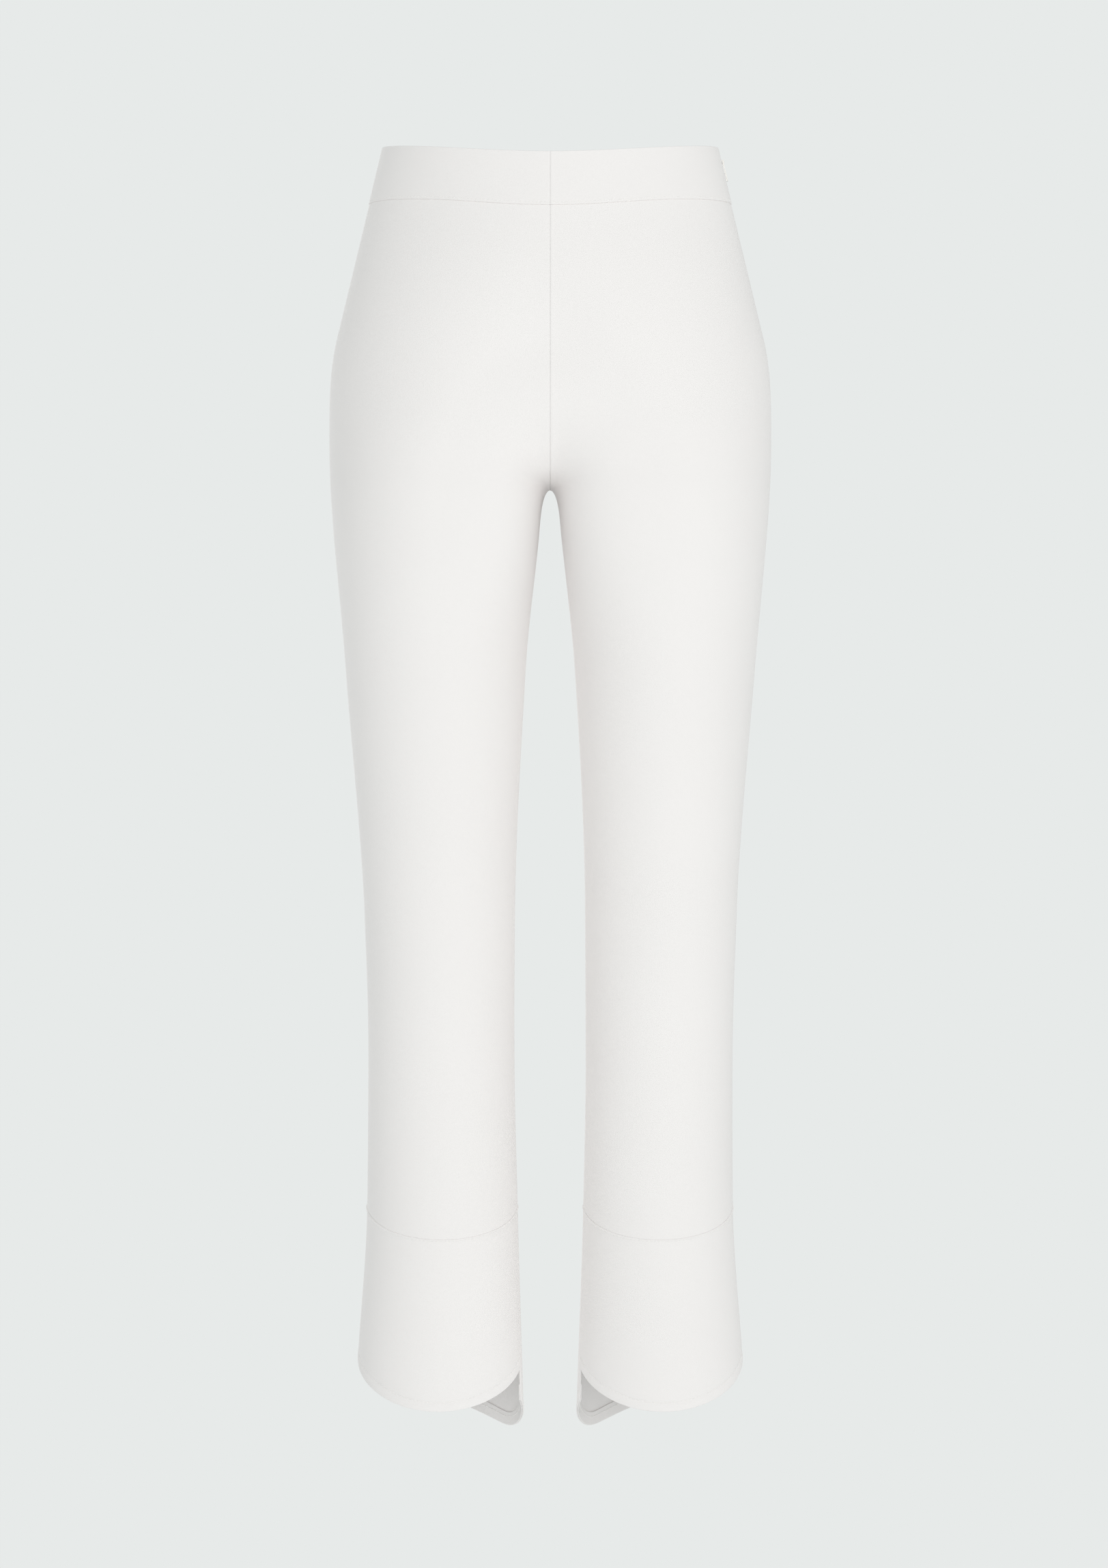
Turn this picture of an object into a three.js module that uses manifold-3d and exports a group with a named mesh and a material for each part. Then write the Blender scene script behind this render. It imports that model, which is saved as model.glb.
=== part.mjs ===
// Slim white stretch trousers in the cut sold as ski pants: two-piece legs with a shaped
// waistband, a curved lower-leg piece, a shirt-tail hem that is longest at the inner back,
// and an invisible zip in the wearer's left side seam.
//
// Frame: millimetres, +Z up, the wearer faces -Y, the wearer's left is +X. The origin is the
// middle of the waist opening, level with the waistband's top edge at the side seams.
// The garment keeps the round shape it has when it is worn. Its cloth pieces are thin shells
// cut from one skin surface, and each cloth layer lies at its own depth under that skin.

import * as THREE from "three";
import { mergeVertices } from "three/addons/utils/BufferGeometryUtils.js";
import Module from "manifold-3d";

// ---- Lengths down the garment ----
const WAISTBAND_HEIGHT = 43.5;
const RISE = 265; // waist edge at the side to the crotch
const THIGH_LENGTH = 325; // crotch to knee
const SHIN_LENGTH = 229; // knee to the side end of the cuff seam
const CUFF_LENGTH = 119; // cuff seam to hem, along the side seam
const HIP_ABOVE_CROTCH = 38;
const FRONT_DIP = 12; // the waist edge is this much lower at centre front
const BACK_RISE = 5; // and this much higher at centre back
const CUFF_SEAM_SAG = 23.5; // the cuff seam's bow, front and back
const HEM_SAG = 36.6; // the front hem's bow
const TAIL_DROP = 57.4; // the back hem's lowest point, below the hem at the side
const TAIL_FROM_INSEAM = 50; // round the leg from the inseam to that lowest point
const TAIL_INNER_SLOPE = 0.72; // the back hem climbs this steeply to the inseam
const TAIL_INNER_ROUNDING = 14;
const TAIL_OUTER_ROUNDING = 4;

// ---- Half widths from the centre plane to the outer leg ----
const WAIST_HALF_WIDTH = 129.8;
const ZIP_END_HALF_WIDTH = 165.6;
const HIP_HALF_WIDTH = 171.6;
const MID_THIGH_HALF_WIDTH = 158.6;
const KNEE_HALF_WIDTH = 144.6;
const CUFF_HALF_WIDTH = 142.2;
const HEM_HALF_WIDTH = 149.8;

// ---- Half the gap between the legs ----
const MID_THIGH_HALF_GAP = 19.2;
const KNEE_HALF_GAP = 27;
const CUFF_HALF_GAP = 25.4;
const HEM_HALF_GAP = 21.6;

// ---- Depth in front of and behind the side seam's own plane ----
const WAIST_FRONT = 92;
const BELLY_FRONT = 108;
const THIGH_FRONT = 78;
const LEG_FRONT = 61;
const WAIST_BACK = 90;
const SEAT_BACK = 117;
const THIGH_BACK = 76;
const LEG_BACK = 62;

// ---- Seams ----
const SEAM_GAP = 0.36; // between cloth pieces that are sewn edge to edge
const INSEAM_TURN = THREE.MathUtils.degToRad(12); // the inseam lies this far in front of the inner side
const INSEAM_SETTLE = 70; // the drop below the crotch over which the inseam reaches that turn

// ---- Cloth layers ----
const CLOTH = 1.1;
const LAYER_GAP = 0.35;
const BAND_PROUD = 0.6; // the waistband stands out past the leg panels
const FACING = 0.8;
const HEM_TURN = 10.5; // height of the hem facing
const RIBBON = 0.8;

// ---- Zip ----
const ZIP_LENGTH = 147;
const ZIP_TOP = 9; // the chain starts this far below the waist edge, under the hook
const ZIP_SLIT = 1.9; // open width of the side seam over the zip
const TAPE_WIDTH = 11;
const TAPE = 0.5;
const TAPE_TAIL = 10; // the tape runs on below the chain
const COIL_WIDTH = 2.2;
const COIL_THICK = 1.3;
const COIL_SPACE = 1.6; // between the two coils, where the slider's neck runs
const RUN_GAP = 0.4; // round every moving part
const STOP_LENGTH = 3.5;
const SLIDER_LENGTH = 8.4;
const SLIDER_WALL = 0.6;
const NECK = 0.8;
const NECK_LENGTH = 3.2;
const PIN_RADIUS = 0.4;
const PIN_CLEAR = 0.25;
const PULL = 1;
const PULL_PRONG = 0.8;
const PULL_LENGTH = 16;
const PULL_WIDTH = 4.4;

// ---- Waist hook, hanger loops and label ----
const HOOK_PLATE = 0.6;
const HOOK_HEIGHT = 6;
const HOOK_REACH = 9;
const HOOK_DROP = 1.5;
const LOOP_WIDTH = 6;
const LOOP_LENGTH = 88;
const LOOP_RADIUS = 4.5;
const LOOP_DROP = 8;
const LOOP_FROM_SIDE = 24;
const LOOP_CLEAR = 2; // the loop hangs square while the facing curves in beside it
const LABEL = 0.6;
const LABEL_WIDTH = 34;
const LABEL_HEIGHT = 48;
const LABEL_DROP = 62;
const LABEL_CLEAR = 1.4;

// ---- Mesh steps ----
const SIDE_STRIP = TAPE_WIDTH + 2; // width of the first step from the side seam
const COLUMNS = 12; // every piece from side seam to centre has the same, so that joined edges match
const ZIP_ROWS = 4;
const SEAT_ROWS = 6;
const LEG_ROWS = 15;
const CUFF_ROWS = 5;
const BAND_ROWS = 2;
const TAPE_ROWS = 4;
const ARC_STEPS = 8;

const wasm = await Module();
wasm.setup();

// ---- Profiles down the garment ----

// A smooth curve through [height, value] points. A point may also hold its own slope.
function profile(points) {
  const secant = (i) => (points[i + 1][1] - points[i][1]) / (points[i + 1][0] - points[i][0]);
  const last = points.length - 1;
  const slopes = points.map((point, i) => {
    if (point[2] !== undefined) return point[2];
    if (i === 0) return secant(0);
    if (i === last) return secant(last - 1);
    const [before, after] = [secant(i - 1), secant(i)];
    return before * after > 0 ? (2 * before * after) / (before + after) : 0;
  });
  return (z) => {
    if (z >= points[0][0]) return points[0][1] + slopes[0] * (z - points[0][0]);
    if (z <= points[last][0]) return points[last][1] + slopes[last] * (z - points[last][0]);
    const i = points.findIndex((point) => point[0] < z) - 1;
    const step = points[i + 1][0] - points[i][0];
    const t = (z - points[i][0]) / step;
    const value = (2 * t ** 3 - 3 * t ** 2 + 1) * points[i][1] + (3 * t ** 2 - 2 * t ** 3) * points[i + 1][1];
    return value + ((t ** 3 - 2 * t ** 2 + t) * slopes[i] + (t ** 3 - t ** 2) * slopes[i + 1]) * step;
  };
}

const BAND_END = -WAISTBAND_HEIGHT;
const ZIP_END = -ZIP_LENGTH;
const TAPE_END = ZIP_END - TAPE_TAIL;
const CROTCH = -RISE;
const HIP = CROTCH + HIP_ABOVE_CROTCH;
const KNEE = CROTCH - THIGH_LENGTH;
const CUFF_TOP = KNEE - SHIN_LENGTH;
const HEM = CUFF_TOP - CUFF_LENGTH;
const MID_THIGH = CROTCH - THIGH_LENGTH * 0.43;
const MID_SHIN = KNEE - SHIN_LENGTH * 0.5;

// The side seam is straight along the zip, so its two profiles hold one slope there.
const ZIP_FLARE = (ZIP_END_HALF_WIDTH - WAIST_HALF_WIDTH) / ZIP_END;
const outerHalfWidth = profile([
  [0, WAIST_HALF_WIDTH, ZIP_FLARE],
  [ZIP_END, ZIP_END_HALF_WIDTH, ZIP_FLARE],
  [HIP, HIP_HALF_WIDTH, 0],
  [MID_THIGH, MID_THIGH_HALF_WIDTH],
  [KNEE, KNEE_HALF_WIDTH],
  [MID_SHIN, CUFF_HALF_WIDTH - 0.8, 0],
  [CUFF_TOP, CUFF_HALF_WIDTH],
  [HEM, HEM_HALF_WIDTH],
]);
const [WAIST_SEAM_DEPTH, ZIP_END_SEAM_DEPTH] = [-3, 5];
const ZIP_LEAN = (ZIP_END_SEAM_DEPTH - WAIST_SEAM_DEPTH) / ZIP_END;
const seamDepth = profile([
  [0, WAIST_SEAM_DEPTH, ZIP_LEAN],
  [ZIP_END, ZIP_END_SEAM_DEPTH, ZIP_LEAN],
  [CROTCH, 3],
  [KNEE, -3, 0],
  [CUFF_TOP, 6],
  [HEM, 8],
]);
const halfGap = profile([
  [CROTCH, 6.5, -0.03],
  [MID_THIGH, MID_THIGH_HALF_GAP],
  [KNEE, KNEE_HALF_GAP],
  [MID_SHIN, KNEE_HALF_GAP + 0.6, 0],
  [CUFF_TOP, CUFF_HALF_GAP],
  [HEM, HEM_HALF_GAP],
]);
const CROTCH_CENTRE = (outerHalfWidth(CROTCH) + halfGap(CROTCH)) / 2;
const riseCentre = profile([
  [BAND_END, 0, 0],
  [THREE.MathUtils.lerp(BAND_END, CROTCH, 0.26), 0.25 * CROTCH_CENTRE],
  [THREE.MathUtils.lerp(BAND_END, CROTCH, 0.48), 0.51 * CROTCH_CENTRE],
  [THREE.MathUtils.lerp(BAND_END, CROTCH, 0.7), 0.77 * CROTCH_CENTRE],
  [THREE.MathUtils.lerp(BAND_END, CROTCH, 0.86), 0.93 * CROTCH_CENTRE],
  [CROTCH, CROTCH_CENTRE, 0.011],
]);
const frontDepth = profile([
  [0, WAIST_FRONT],
  [ZIP_END, BELLY_FRONT, 0],
  [CROTCH, BELLY_FRONT - 7],
  [MID_THIGH, THIGH_FRONT],
  [KNEE, LEG_FRONT + 1],
  [CUFF_TOP, LEG_FRONT, 0],
  [HEM, LEG_FRONT + 1],
]);
const backDepth = profile([
  [0, WAIST_BACK],
  [ZIP_END, SEAT_BACK - 4],
  [HIP + 20, SEAT_BACK, 0],
  [CROTCH - 30, SEAT_BACK - 19],
  [MID_THIGH, THIGH_BACK],
  [KNEE, LEG_BACK + 1],
  [MID_SHIN, LEG_BACK + 1, 0],
  [CUFF_TOP, LEG_BACK, 0],
  [HEM, LEG_BACK + 1],
]);
// How widely the cloth bridges the hollow between the two thighs.
const bridging = profile([
  [BAND_END, 0, 0],
  [ZIP_END, 18],
  [HIP + 25, 56, 0],
  [CROTCH + 13, 43],
  [CROTCH, 26],
  [CROTCH - 30, 16],
  [MID_THIGH, 6],
  [KNEE, 1, 0],
]);

// How full the front of the inner thigh is: 2 is an ellipse, and more is squarer.
const squareness = profile([
  [ZIP_END, 2, 0],
  [CROTCH, 3.3],
  [MID_THIGH, 2, 0],
]);

// The middle of one leg's outline, which moves in to the garment's own middle up the rise.
function legCentre(z) {
  if (z > BAND_END) return 0;
  return z > CROTCH ? riseCentre(z) : (outerHalfWidth(z) + halfGap(z)) / 2;
}
const legRadius = (z) => outerHalfWidth(z) - legCentre(z);

// ---- The skin ----

// Distance from one leg's outline at height z, negative inside.
function legDistance(x, y, z) {
  const [aside, back] = [x - legCentre(z), y - seamDepth(z)];
  const depth = back < 0 ? frontDepth(z) : backDepth(z);
  const [u, v] = [Math.abs(aside) / legRadius(z), Math.abs(back) / depth];
  const power = aside < 0 && back < 0 ? squareness(z) : 2;
  const reach = (u ** power + v ** power) ** (1 / power);
  const slope = Math.hypot(u ** (power - 1) / legRadius(z), v ** (power - 1) / depth);
  return ((reach - 1) * reach ** (power - 1)) / Math.max(slope, 1e-9);
}

// Distance from the skin: both legs, joined by a smooth web of cloth above the crotch.
function skinDistance(x, y, z) {
  const [near, far] = [legDistance(x, y, z), legDistance(-x, y, z)];
  const web = Math.max(bridging(z), 1e-6);
  const overlap = Math.max(web - Math.abs(near - far), 0);
  return Math.min(near, far) - overlap ** 2 / (4 * web);
}

function bisect(low, high, inside) {
  for (let i = 0; i < 44; i++) {
    const middle = (low + high) / 2;
    if (inside(middle)) low = middle;
    else high = middle;
  }
  return (low + high) / 2;
}

// The height where the two legs part.
const FORK = bisect(HIP, CROTCH - 40, (z) => skinDistance(0, seamDepth(z), z) < 0);

// The skin point at height z on the wearer's left half. Angle 0 is the inner side of the leg,
// +90 degrees its back, 180 its outer side and -90 its front.
function skinPoint(z, angle) {
  const [cx, cy] = [legCentre(z), seamDepth(z)];
  const [dx, dy] = [-Math.cos(angle), Math.sin(angle)];
  const reach = 1.6 * (outerHalfWidth(z) + backDepth(z));
  const inside = (t) => cx + dx * t > -1e-6 && skinDistance(cx + dx * t, cy + dy * t, z) < 0;
  const r = bisect(0, reach, inside);
  return new THREE.Vector3(cx + dx * r, cy + dy * r, z);
}

function skinNormal(p) {
  const e = 0.05;
  const slope = (dx, dy, dz) =>
    skinDistance(p.x + dx, p.y + dy, p.z + dz) - skinDistance(p.x - dx, p.y - dy, p.z - dz);
  return new THREE.Vector3(slope(e, 0, 0), slope(0, e, 0), slope(0, 0, e)).normalize();
}

// The angle of a piece's inner end: on the centre seam above the fork, at the inseam below it.
// face is -1 for the front and +1 for the back.
function innerAngle(z, face) {
  if (z <= FORK) return -INSEAM_TURN * THREE.MathUtils.smoothstep(FORK - z, 0, INSEAM_SETTLE);
  const cy = seamDepth(z);
  const limit = 1.3 * (face < 0 ? frontDepth(z) : backDepth(z));
  const edge = bisect(0, limit, (t) => skinDistance(0, cy + face * t, z) < 0);
  return face * Math.atan2(edge, legCentre(z));
}

// ---- Edge lines, as heights at an angle round the leg ----

// The waist's dip at centre front and rise at centre back. A higher power keeps the dip nearer the centre.
function waistBow(angle, power) {
  const [front, back] = [Math.max(0, -Math.sin(angle)), Math.max(0, Math.sin(angle))];
  return BACK_RISE * back ** 2 - FRONT_DIP * front ** power;
}
const waistHeight = (angle) => waistBow(angle, 1.4);
const bandSeamHeight = (angle) => BAND_END + 0.8 * waistBow(angle, 2.5);
const cuffSeamHeight = (angle) => CUFF_TOP - CUFF_SEAM_SAG * Math.abs(Math.sin(angle));
const frontHemHeight = (angle) => HEM + HEM_SAG * Math.min(0, Math.sin(angle));

// The back hem slopes down from the side seam to a rounded tail near the inseam.
function backHemHeight(angle) {
  const along = legRadius(HEM) * (angle + INSEAM_TURN) - TAIL_FROM_INSEAM;
  const whole = legRadius(HEM) * (Math.PI + INSEAM_TURN) - TAIL_FROM_INSEAM;
  const rounding = along < 0 ? TAIL_INNER_ROUNDING : TAIL_OUTER_ROUNDING;
  const outerSlope = Math.sqrt((TAIL_DROP + rounding) ** 2 - rounding ** 2) / whole;
  const climb = along * (along < 0 ? TAIL_INNER_SLOPE : outerSlope);
  return HEM - TAIL_DROP + Math.hypot(climb, rounding) - rounding;
}
const hemHeight = (angle, face) => (face < 0 ? frontHemHeight(angle) : backHemHeight(angle));

const evenly = (count) => Array.from({ length: count + 1 }, (_, i) => i / count);
const lowered = (line, drop) => (angle) => line(angle) - drop;
const level = (z) => () => z;
// A row of heights for each step from one line down to another.
const rowsBetween = (upper, lower, count) =>
  evenly(count).map((share) => (angle) => THREE.MathUtils.lerp(upper(angle), lower(angle), share));

// ---- Cloth shells ----

// The same geometry with its faces turned to point out.
function facingOut(geometry) {
  const p = geometry.getAttribute("position");
  const index = geometry.getIndex().array;
  const corner = [new THREE.Vector3(), new THREE.Vector3(), new THREE.Vector3()];
  let volume = 0;
  for (let i = 0; i < index.length; i += 3) {
    corner.forEach((c, k) => c.fromBufferAttribute(p, index[i + k]));
    volume += corner[0].dot(corner[1].cross(corner[2]));
  }
  if (volume < 0)
    for (let i = 0; i < index.length; i += 3) [index[i + 1], index[i + 2]] = [index[i + 2], index[i + 1]];
  geometry.computeVertexNormals();
  return geometry;
}

// A closed shell between an outer and an inner grid of points.
function shell(outer, inner) {
  const [rows, columns] = [outer.length, outer[0].length];
  const position = [...outer.flat(), ...inner.flat()].flatMap((p) => [p.x, p.y, p.z]);
  const at = (layer, i, j) => (layer * rows + i) * columns + j;
  const index = [];
  const quad = (a, b, c, d) => index.push(a, b, c, a, c, d);
  for (let i = 0; i + 1 < rows; i++) {
    for (let j = 0; j + 1 < columns; j++) {
      quad(at(0, i, j), at(0, i + 1, j), at(0, i + 1, j + 1), at(0, i, j + 1));
      quad(at(1, i, j), at(1, i, j + 1), at(1, i + 1, j + 1), at(1, i + 1, j));
    }
    const end = columns - 1;
    quad(at(0, i, 0), at(1, i, 0), at(1, i + 1, 0), at(0, i + 1, 0));
    quad(at(0, i, end), at(0, i + 1, end), at(1, i + 1, end), at(1, i, end));
  }
  for (let j = 0; j + 1 < columns; j++) {
    const end = rows - 1;
    quad(at(0, 0, j), at(0, 0, j + 1), at(1, 0, j + 1), at(1, 0, j));
    quad(at(0, end, j), at(1, end, j), at(1, end, j + 1), at(0, end, j + 1));
  }
  const geometry = new THREE.BufferGeometry();
  geometry.setAttribute("position", new THREE.Float32BufferAttribute(position, 3));
  geometry.setIndex(index);
  return facingOut(geometry);
}

// Columns crowd towards the inseam, where the tail's edge turns.
const fullColumns = evenly(COLUMNS).map((share) => 1 - (1 - share) ** 1.15);
const plainSeam = () => SEAM_GAP / 2;
const zipSeam = (z) => (z > ZIP_END ? ZIP_SLIT / 2 : SEAM_GAP / 2);

// One cloth piece on the wearer's left half.
//   face: -1 front, +1 back
//   heights: for each row, its height at an angle
//   columns: shares of the way round, from the first step beside the side seam to the far end
//   top, bottom: depths of its outer and inner faces under the skin
//   from: distance of its first edge from the side seam, at a height
//   reach: distance of its far edge from the side seam, when it stops short of the centre
function clothPiece({ face, heights, top, bottom, columns = fullColumns, from = plainSeam, reach }) {
  const grids = [[], []];
  for (const height of heights) {
    const sideHeight = height(Math.PI);
    const turn = (distance) => face * (Math.PI - distance / legRadius(sideHeight));
    const guess = innerAngle(height((face * Math.PI) / 2), face);
    const z = height(innerAngle(height(guess), face));
    const gap = z > FORK ? 0 : SEAM_GAP / 2 / legRadius(z);
    const stop = reach ? turn(reach) : innerAngle(z, face) + face * gap;
    const strip = turn(Math.min(SIDE_STRIP, reach ?? SIDE_STRIP));
    const angles = columns.map((share) => THREE.MathUtils.lerp(strip, stop, share));
    if (strip !== stop) angles.unshift(turn(from(sideHeight)));
    else angles.splice(0, angles.length, turn(from(sideHeight)), stop);
    const points = angles.map((angle) => skinPoint(height(angle), angle));
    const normals = points.map(skinNormal);
    [top, bottom].forEach((depth, k) => {
      const row = points.map((p, i) => p.clone().addScaledVector(normals[i], -depth));
      row.forEach((p) => (p.x = Math.max(p.x, SEAM_GAP / 2)));
      grids[k].push(row);
    });
  }
  return shell(...grids);
}

// Leg panel rows follow the waist seam at the top and the cuff seam at the bottom. Two rows are
// level with the ends of the zip's chain and tape. The rows crowd at the fork, where the centre
// seam turns fastest.
function panelHeights() {
  const upper = (angle) => bandSeamHeight(angle) - SEAM_GAP / 2 - BAND_END;
  const lower = (angle) => cuffSeamHeight(angle) + SEAM_GAP / 2 - CUFF_TOP;
  const zip = evenly(ZIP_ROWS).map((share) => (angle) => {
    return THREE.MathUtils.lerp(BAND_END, ZIP_END, share) + upper(angle) * (1 - share);
  });
  const seat = evenly(SEAT_ROWS).map((share) => {
    return level(THREE.MathUtils.lerp(TAPE_END, FORK, 1 - (1 - share) ** 1.6));
  });
  const leg = evenly(LEG_ROWS).map((share) => (angle) => {
    const z = THREE.MathUtils.lerp(FORK, CUFF_TOP, share ** 1.6);
    return z + lower(angle) * Math.max(0, 2 * share - 1);
  });
  return [...zip, ...seat, ...leg.slice(1)];
}

function legPanel(face, from) {
  return clothPiece({ face, heights: panelHeights(), top: 0, bottom: CLOTH, from });
}

function cuff(face) {
  const lower = (angle) => hemHeight(angle, face);
  const heights = rowsBetween(lowered(cuffSeamHeight, SEAM_GAP / 2), lower, CUFF_ROWS);
  return clothPiece({ face, heights, top: 0, bottom: CLOTH });
}

function hemFacing(face) {
  const lower = (angle) => hemHeight(angle, face) + LAYER_GAP;
  const heights = rowsBetween(lowered(lower, -HEM_TURN), lower, 1);
  const top = CLOTH + LAYER_GAP;
  return clothPiece({ face, heights, top, bottom: top + FACING });
}

const TAPE_DEPTH = CLOTH + LAYER_GAP;
const FACING_DEPTH = TAPE_DEPTH + TAPE + 1.6 * LAYER_GAP;

function bandLayer(face, drop, top, bottom, from) {
  const [upper, lower] = [lowered(waistHeight, drop), lowered(bandSeamHeight, drop - SEAM_GAP / 2)];
  const heights = rowsBetween(upper, lower, BAND_ROWS);
  return clothPiece({ face, heights, top, bottom, from });
}
const band = (face, from) => bandLayer(face, 0, -BAND_PROUD, CLOTH - BAND_PROUD, from);
const bandFacing = (face, from) => bandLayer(face, 0.8, FACING_DEPTH, FACING_DEPTH + FACING, from);

function careLabel() {
  const top = CLOTH + LABEL_CLEAR;
  const heights = rowsBetween(level(-LABEL_DROP), level(-LABEL_DROP - LABEL_HEIGHT), 2);
  const [from, reach] = [() => 4, LABEL_WIDTH + 4];
  return clothPiece({ face: 1, heights, columns: evenly(3), top, bottom: top + LABEL, from, reach });
}

// ---- Zip, in a frame with X out of the cloth, Y towards the back and Z up the seam ----

const seamTop = skinPoint(0, Math.PI);
const seamEnd = skinPoint(ZIP_END, Math.PI);
const SEAM_RUN = seamTop.distanceTo(seamEnd);

function zipFrame() {
  const up = seamTop.clone().sub(seamEnd).normalize();
  const out = skinNormal(skinPoint(ZIP_END / 2, Math.PI));
  out.addScaledVector(up, -out.dot(up)).normalize();
  return new THREE.Matrix4().makeBasis(out, up.clone().cross(out), up).setPosition(seamTop);
}

const COIL_DEPTH = TAPE_DEPTH + TAPE + LAYER_GAP;
const COIL_HALF = COIL_SPACE / 2 + COIL_WIDTH;
const CHAIN_END = SEAM_RUN - STOP_LENGTH;
const BASE_DEPTH = COIL_DEPTH + COIL_THICK + RUN_GAP;
const SLIDER_HALF = COIL_HALF + RUN_GAP + SLIDER_WALL;
const SLIDER_TOP = ZIP_TOP + 0.6;
const PIN_OUT = BAND_PROUD + RUN_GAP + PULL / 2;
const PIN_DROP = SLIDER_TOP + 1.2;

// A block given as ranges: depth under the skin, across the seam, and down from the waist edge.
function block([shallow, deep], [low, high], [from, to]) {
  const box = new THREE.BoxGeometry(deep - shallow, Math.abs(high - low), to - from);
  return box.translate(-(shallow + deep) / 2, (low + high) / 2, -(from + to) / 2);
}

function extruded(outline, depth) {
  return new THREE.ExtrudeGeometry(outline, { depth, bevelEnabled: false, curveSegments: ARC_STEPS });
}

// Joins overlapping pieces into one body.
function joined(...pieces) {
  const solids = pieces.map((piece) => {
    const bare = new THREE.BufferGeometry().setAttribute("position", piece.getAttribute("position"));
    if (piece.getIndex()) bare.setIndex(piece.getIndex());
    const whole = mergeVertices(bare, 1e-4);
    const vertProperties = new Float32Array(whole.getAttribute("position").array);
    const triVerts = new Uint32Array(whole.getIndex().array);
    return new wasm.Manifold(new wasm.Mesh({ numProp: 3, vertProperties, triVerts }));
  });
  const mesh = solids.reduce((all, piece) => all.add(piece)).getMesh();
  const geometry = new THREE.BufferGeometry();
  geometry.setAttribute("position", new THREE.BufferAttribute(mesh.vertProperties, 3));
  geometry.setIndex(new THREE.BufferAttribute(mesh.triVerts, 1));
  geometry.computeVertexNormals();
  return geometry;
}

function zipTape(face) {
  const heights = [...rowsBetween(level(-1), level(ZIP_END), TAPE_ROWS), level(TAPE_END)];
  const inner = COIL_SPACE / 2 + 0.3;
  const [from, reach] = [() => inner, inner + TAPE_WIDTH];
  const [top, bottom] = [TAPE_DEPTH, TAPE_DEPTH + TAPE];
  return clothPiece({ face, heights, columns: [0, 1], top, bottom, from, reach });
}

function zipCoil(face) {
  const across = [(face * COIL_SPACE) / 2, face * COIL_HALF];
  return block([COIL_DEPTH, COIL_DEPTH + COIL_THICK], across, [ZIP_TOP, CHAIN_END - LAYER_GAP]);
}

function zipBottomStop() {
  return block([COIL_DEPTH, COIL_DEPTH + COIL_THICK], [-COIL_HALF, COIL_HALF], [CHAIN_END, SEAM_RUN]);
}

// The slider's neck: a plate through the slit, with a round hole for the pull's pin.
function sliderNeck() {
  const [out, drop] = [PIN_OUT + PIN_RADIUS + PIN_CLEAR + 0.5, SLIDER_TOP];
  const plate = new THREE.Shape();
  plate.moveTo(-(BASE_DEPTH + 0.1), -drop);
  plate.lineTo(-(BASE_DEPTH + 0.1), -drop - NECK_LENGTH);
  plate.lineTo(out - 0.6, -drop - NECK_LENGTH);
  plate.lineTo(out, -drop - NECK_LENGTH + 0.8);
  plate.lineTo(out, -drop - 0.5);
  plate.lineTo(out - 0.6, -drop);
  const hole = new THREE.Path();
  hole.absarc(PIN_OUT, -PIN_DROP, PIN_RADIUS + PIN_CLEAR, 0, 2 * Math.PI, true);
  plate.holes.push(hole);
  const neck = extruded(plate, NECK);
  return neck.rotateX(Math.PI / 2).translate(0, NECK / 2, 0);
}

function zipSlider() {
  const run = [SLIDER_TOP, SLIDER_TOP + SLIDER_LENGTH];
  const base = block([BASE_DEPTH, BASE_DEPTH + SLIDER_WALL], [-SLIDER_HALF, SLIDER_HALF], run);
  const walls = [-1, 1].map((face) => {
    const across = [face * (SLIDER_HALF - SLIDER_WALL), face * SLIDER_HALF];
    return block([TAPE_DEPTH + TAPE + 1.5 * RUN_GAP, BASE_DEPTH + 0.1], across, run);
  });
  return joined(base, ...walls, sliderNeck());
}

// The pull: a flat drop with two prongs and a pin that turns in the slider's neck.
function zipPull() {
  const prong = [NECK / 2 + PIN_CLEAR, NECK / 2 + PIN_CLEAR + PULL_PRONG];
  const root = -(NECK_LENGTH + 0.2);
  const drop = new THREE.Shape();
  drop.moveTo(-prong[1], root);
  drop.quadraticCurveTo(-prong[1], root - 4, -PULL_WIDTH / 2, PULL_WIDTH / 2 - PULL_LENGTH);
  drop.absarc(0, PULL_WIDTH / 2 - PULL_LENGTH, PULL_WIDTH / 2, Math.PI, 2 * Math.PI, false);
  drop.quadraticCurveTo(prong[1], root - 4, prong[1], root);
  const blade = extruded(drop, PULL);
  blade.translate(0, 0, -PULL / 2).rotateX(Math.PI / 2).rotateZ(Math.PI / 2);
  const pin = new THREE.CylinderGeometry(PIN_RADIUS, PIN_RADIUS, 2 * prong[0] + 0.2, 12);
  const prongs = [-1, 1].flatMap((face) => {
    const across = prong.map((side) => face * side);
    const eye = new THREE.CylinderGeometry(PULL / 2, PULL / 2, PULL_PRONG, 16);
    eye.translate(0, (across[0] + across[1]) / 2, 0);
    return [eye, block([-PULL / 2, PULL / 2], across, [0, 0.3 - root])];
  });
  return joined(blade, pin, ...prongs).translate(PIN_OUT, 0, -PIN_DROP);
}

// ---- Waist hook and bar, inside the band above the zip ----

const HOOK_DEPTH = FACING_DEPTH + FACING + 1.1;
const hookHeights = (inset) => [HOOK_DROP + inset, HOOK_DROP + HOOK_HEIGHT - inset];

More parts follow.
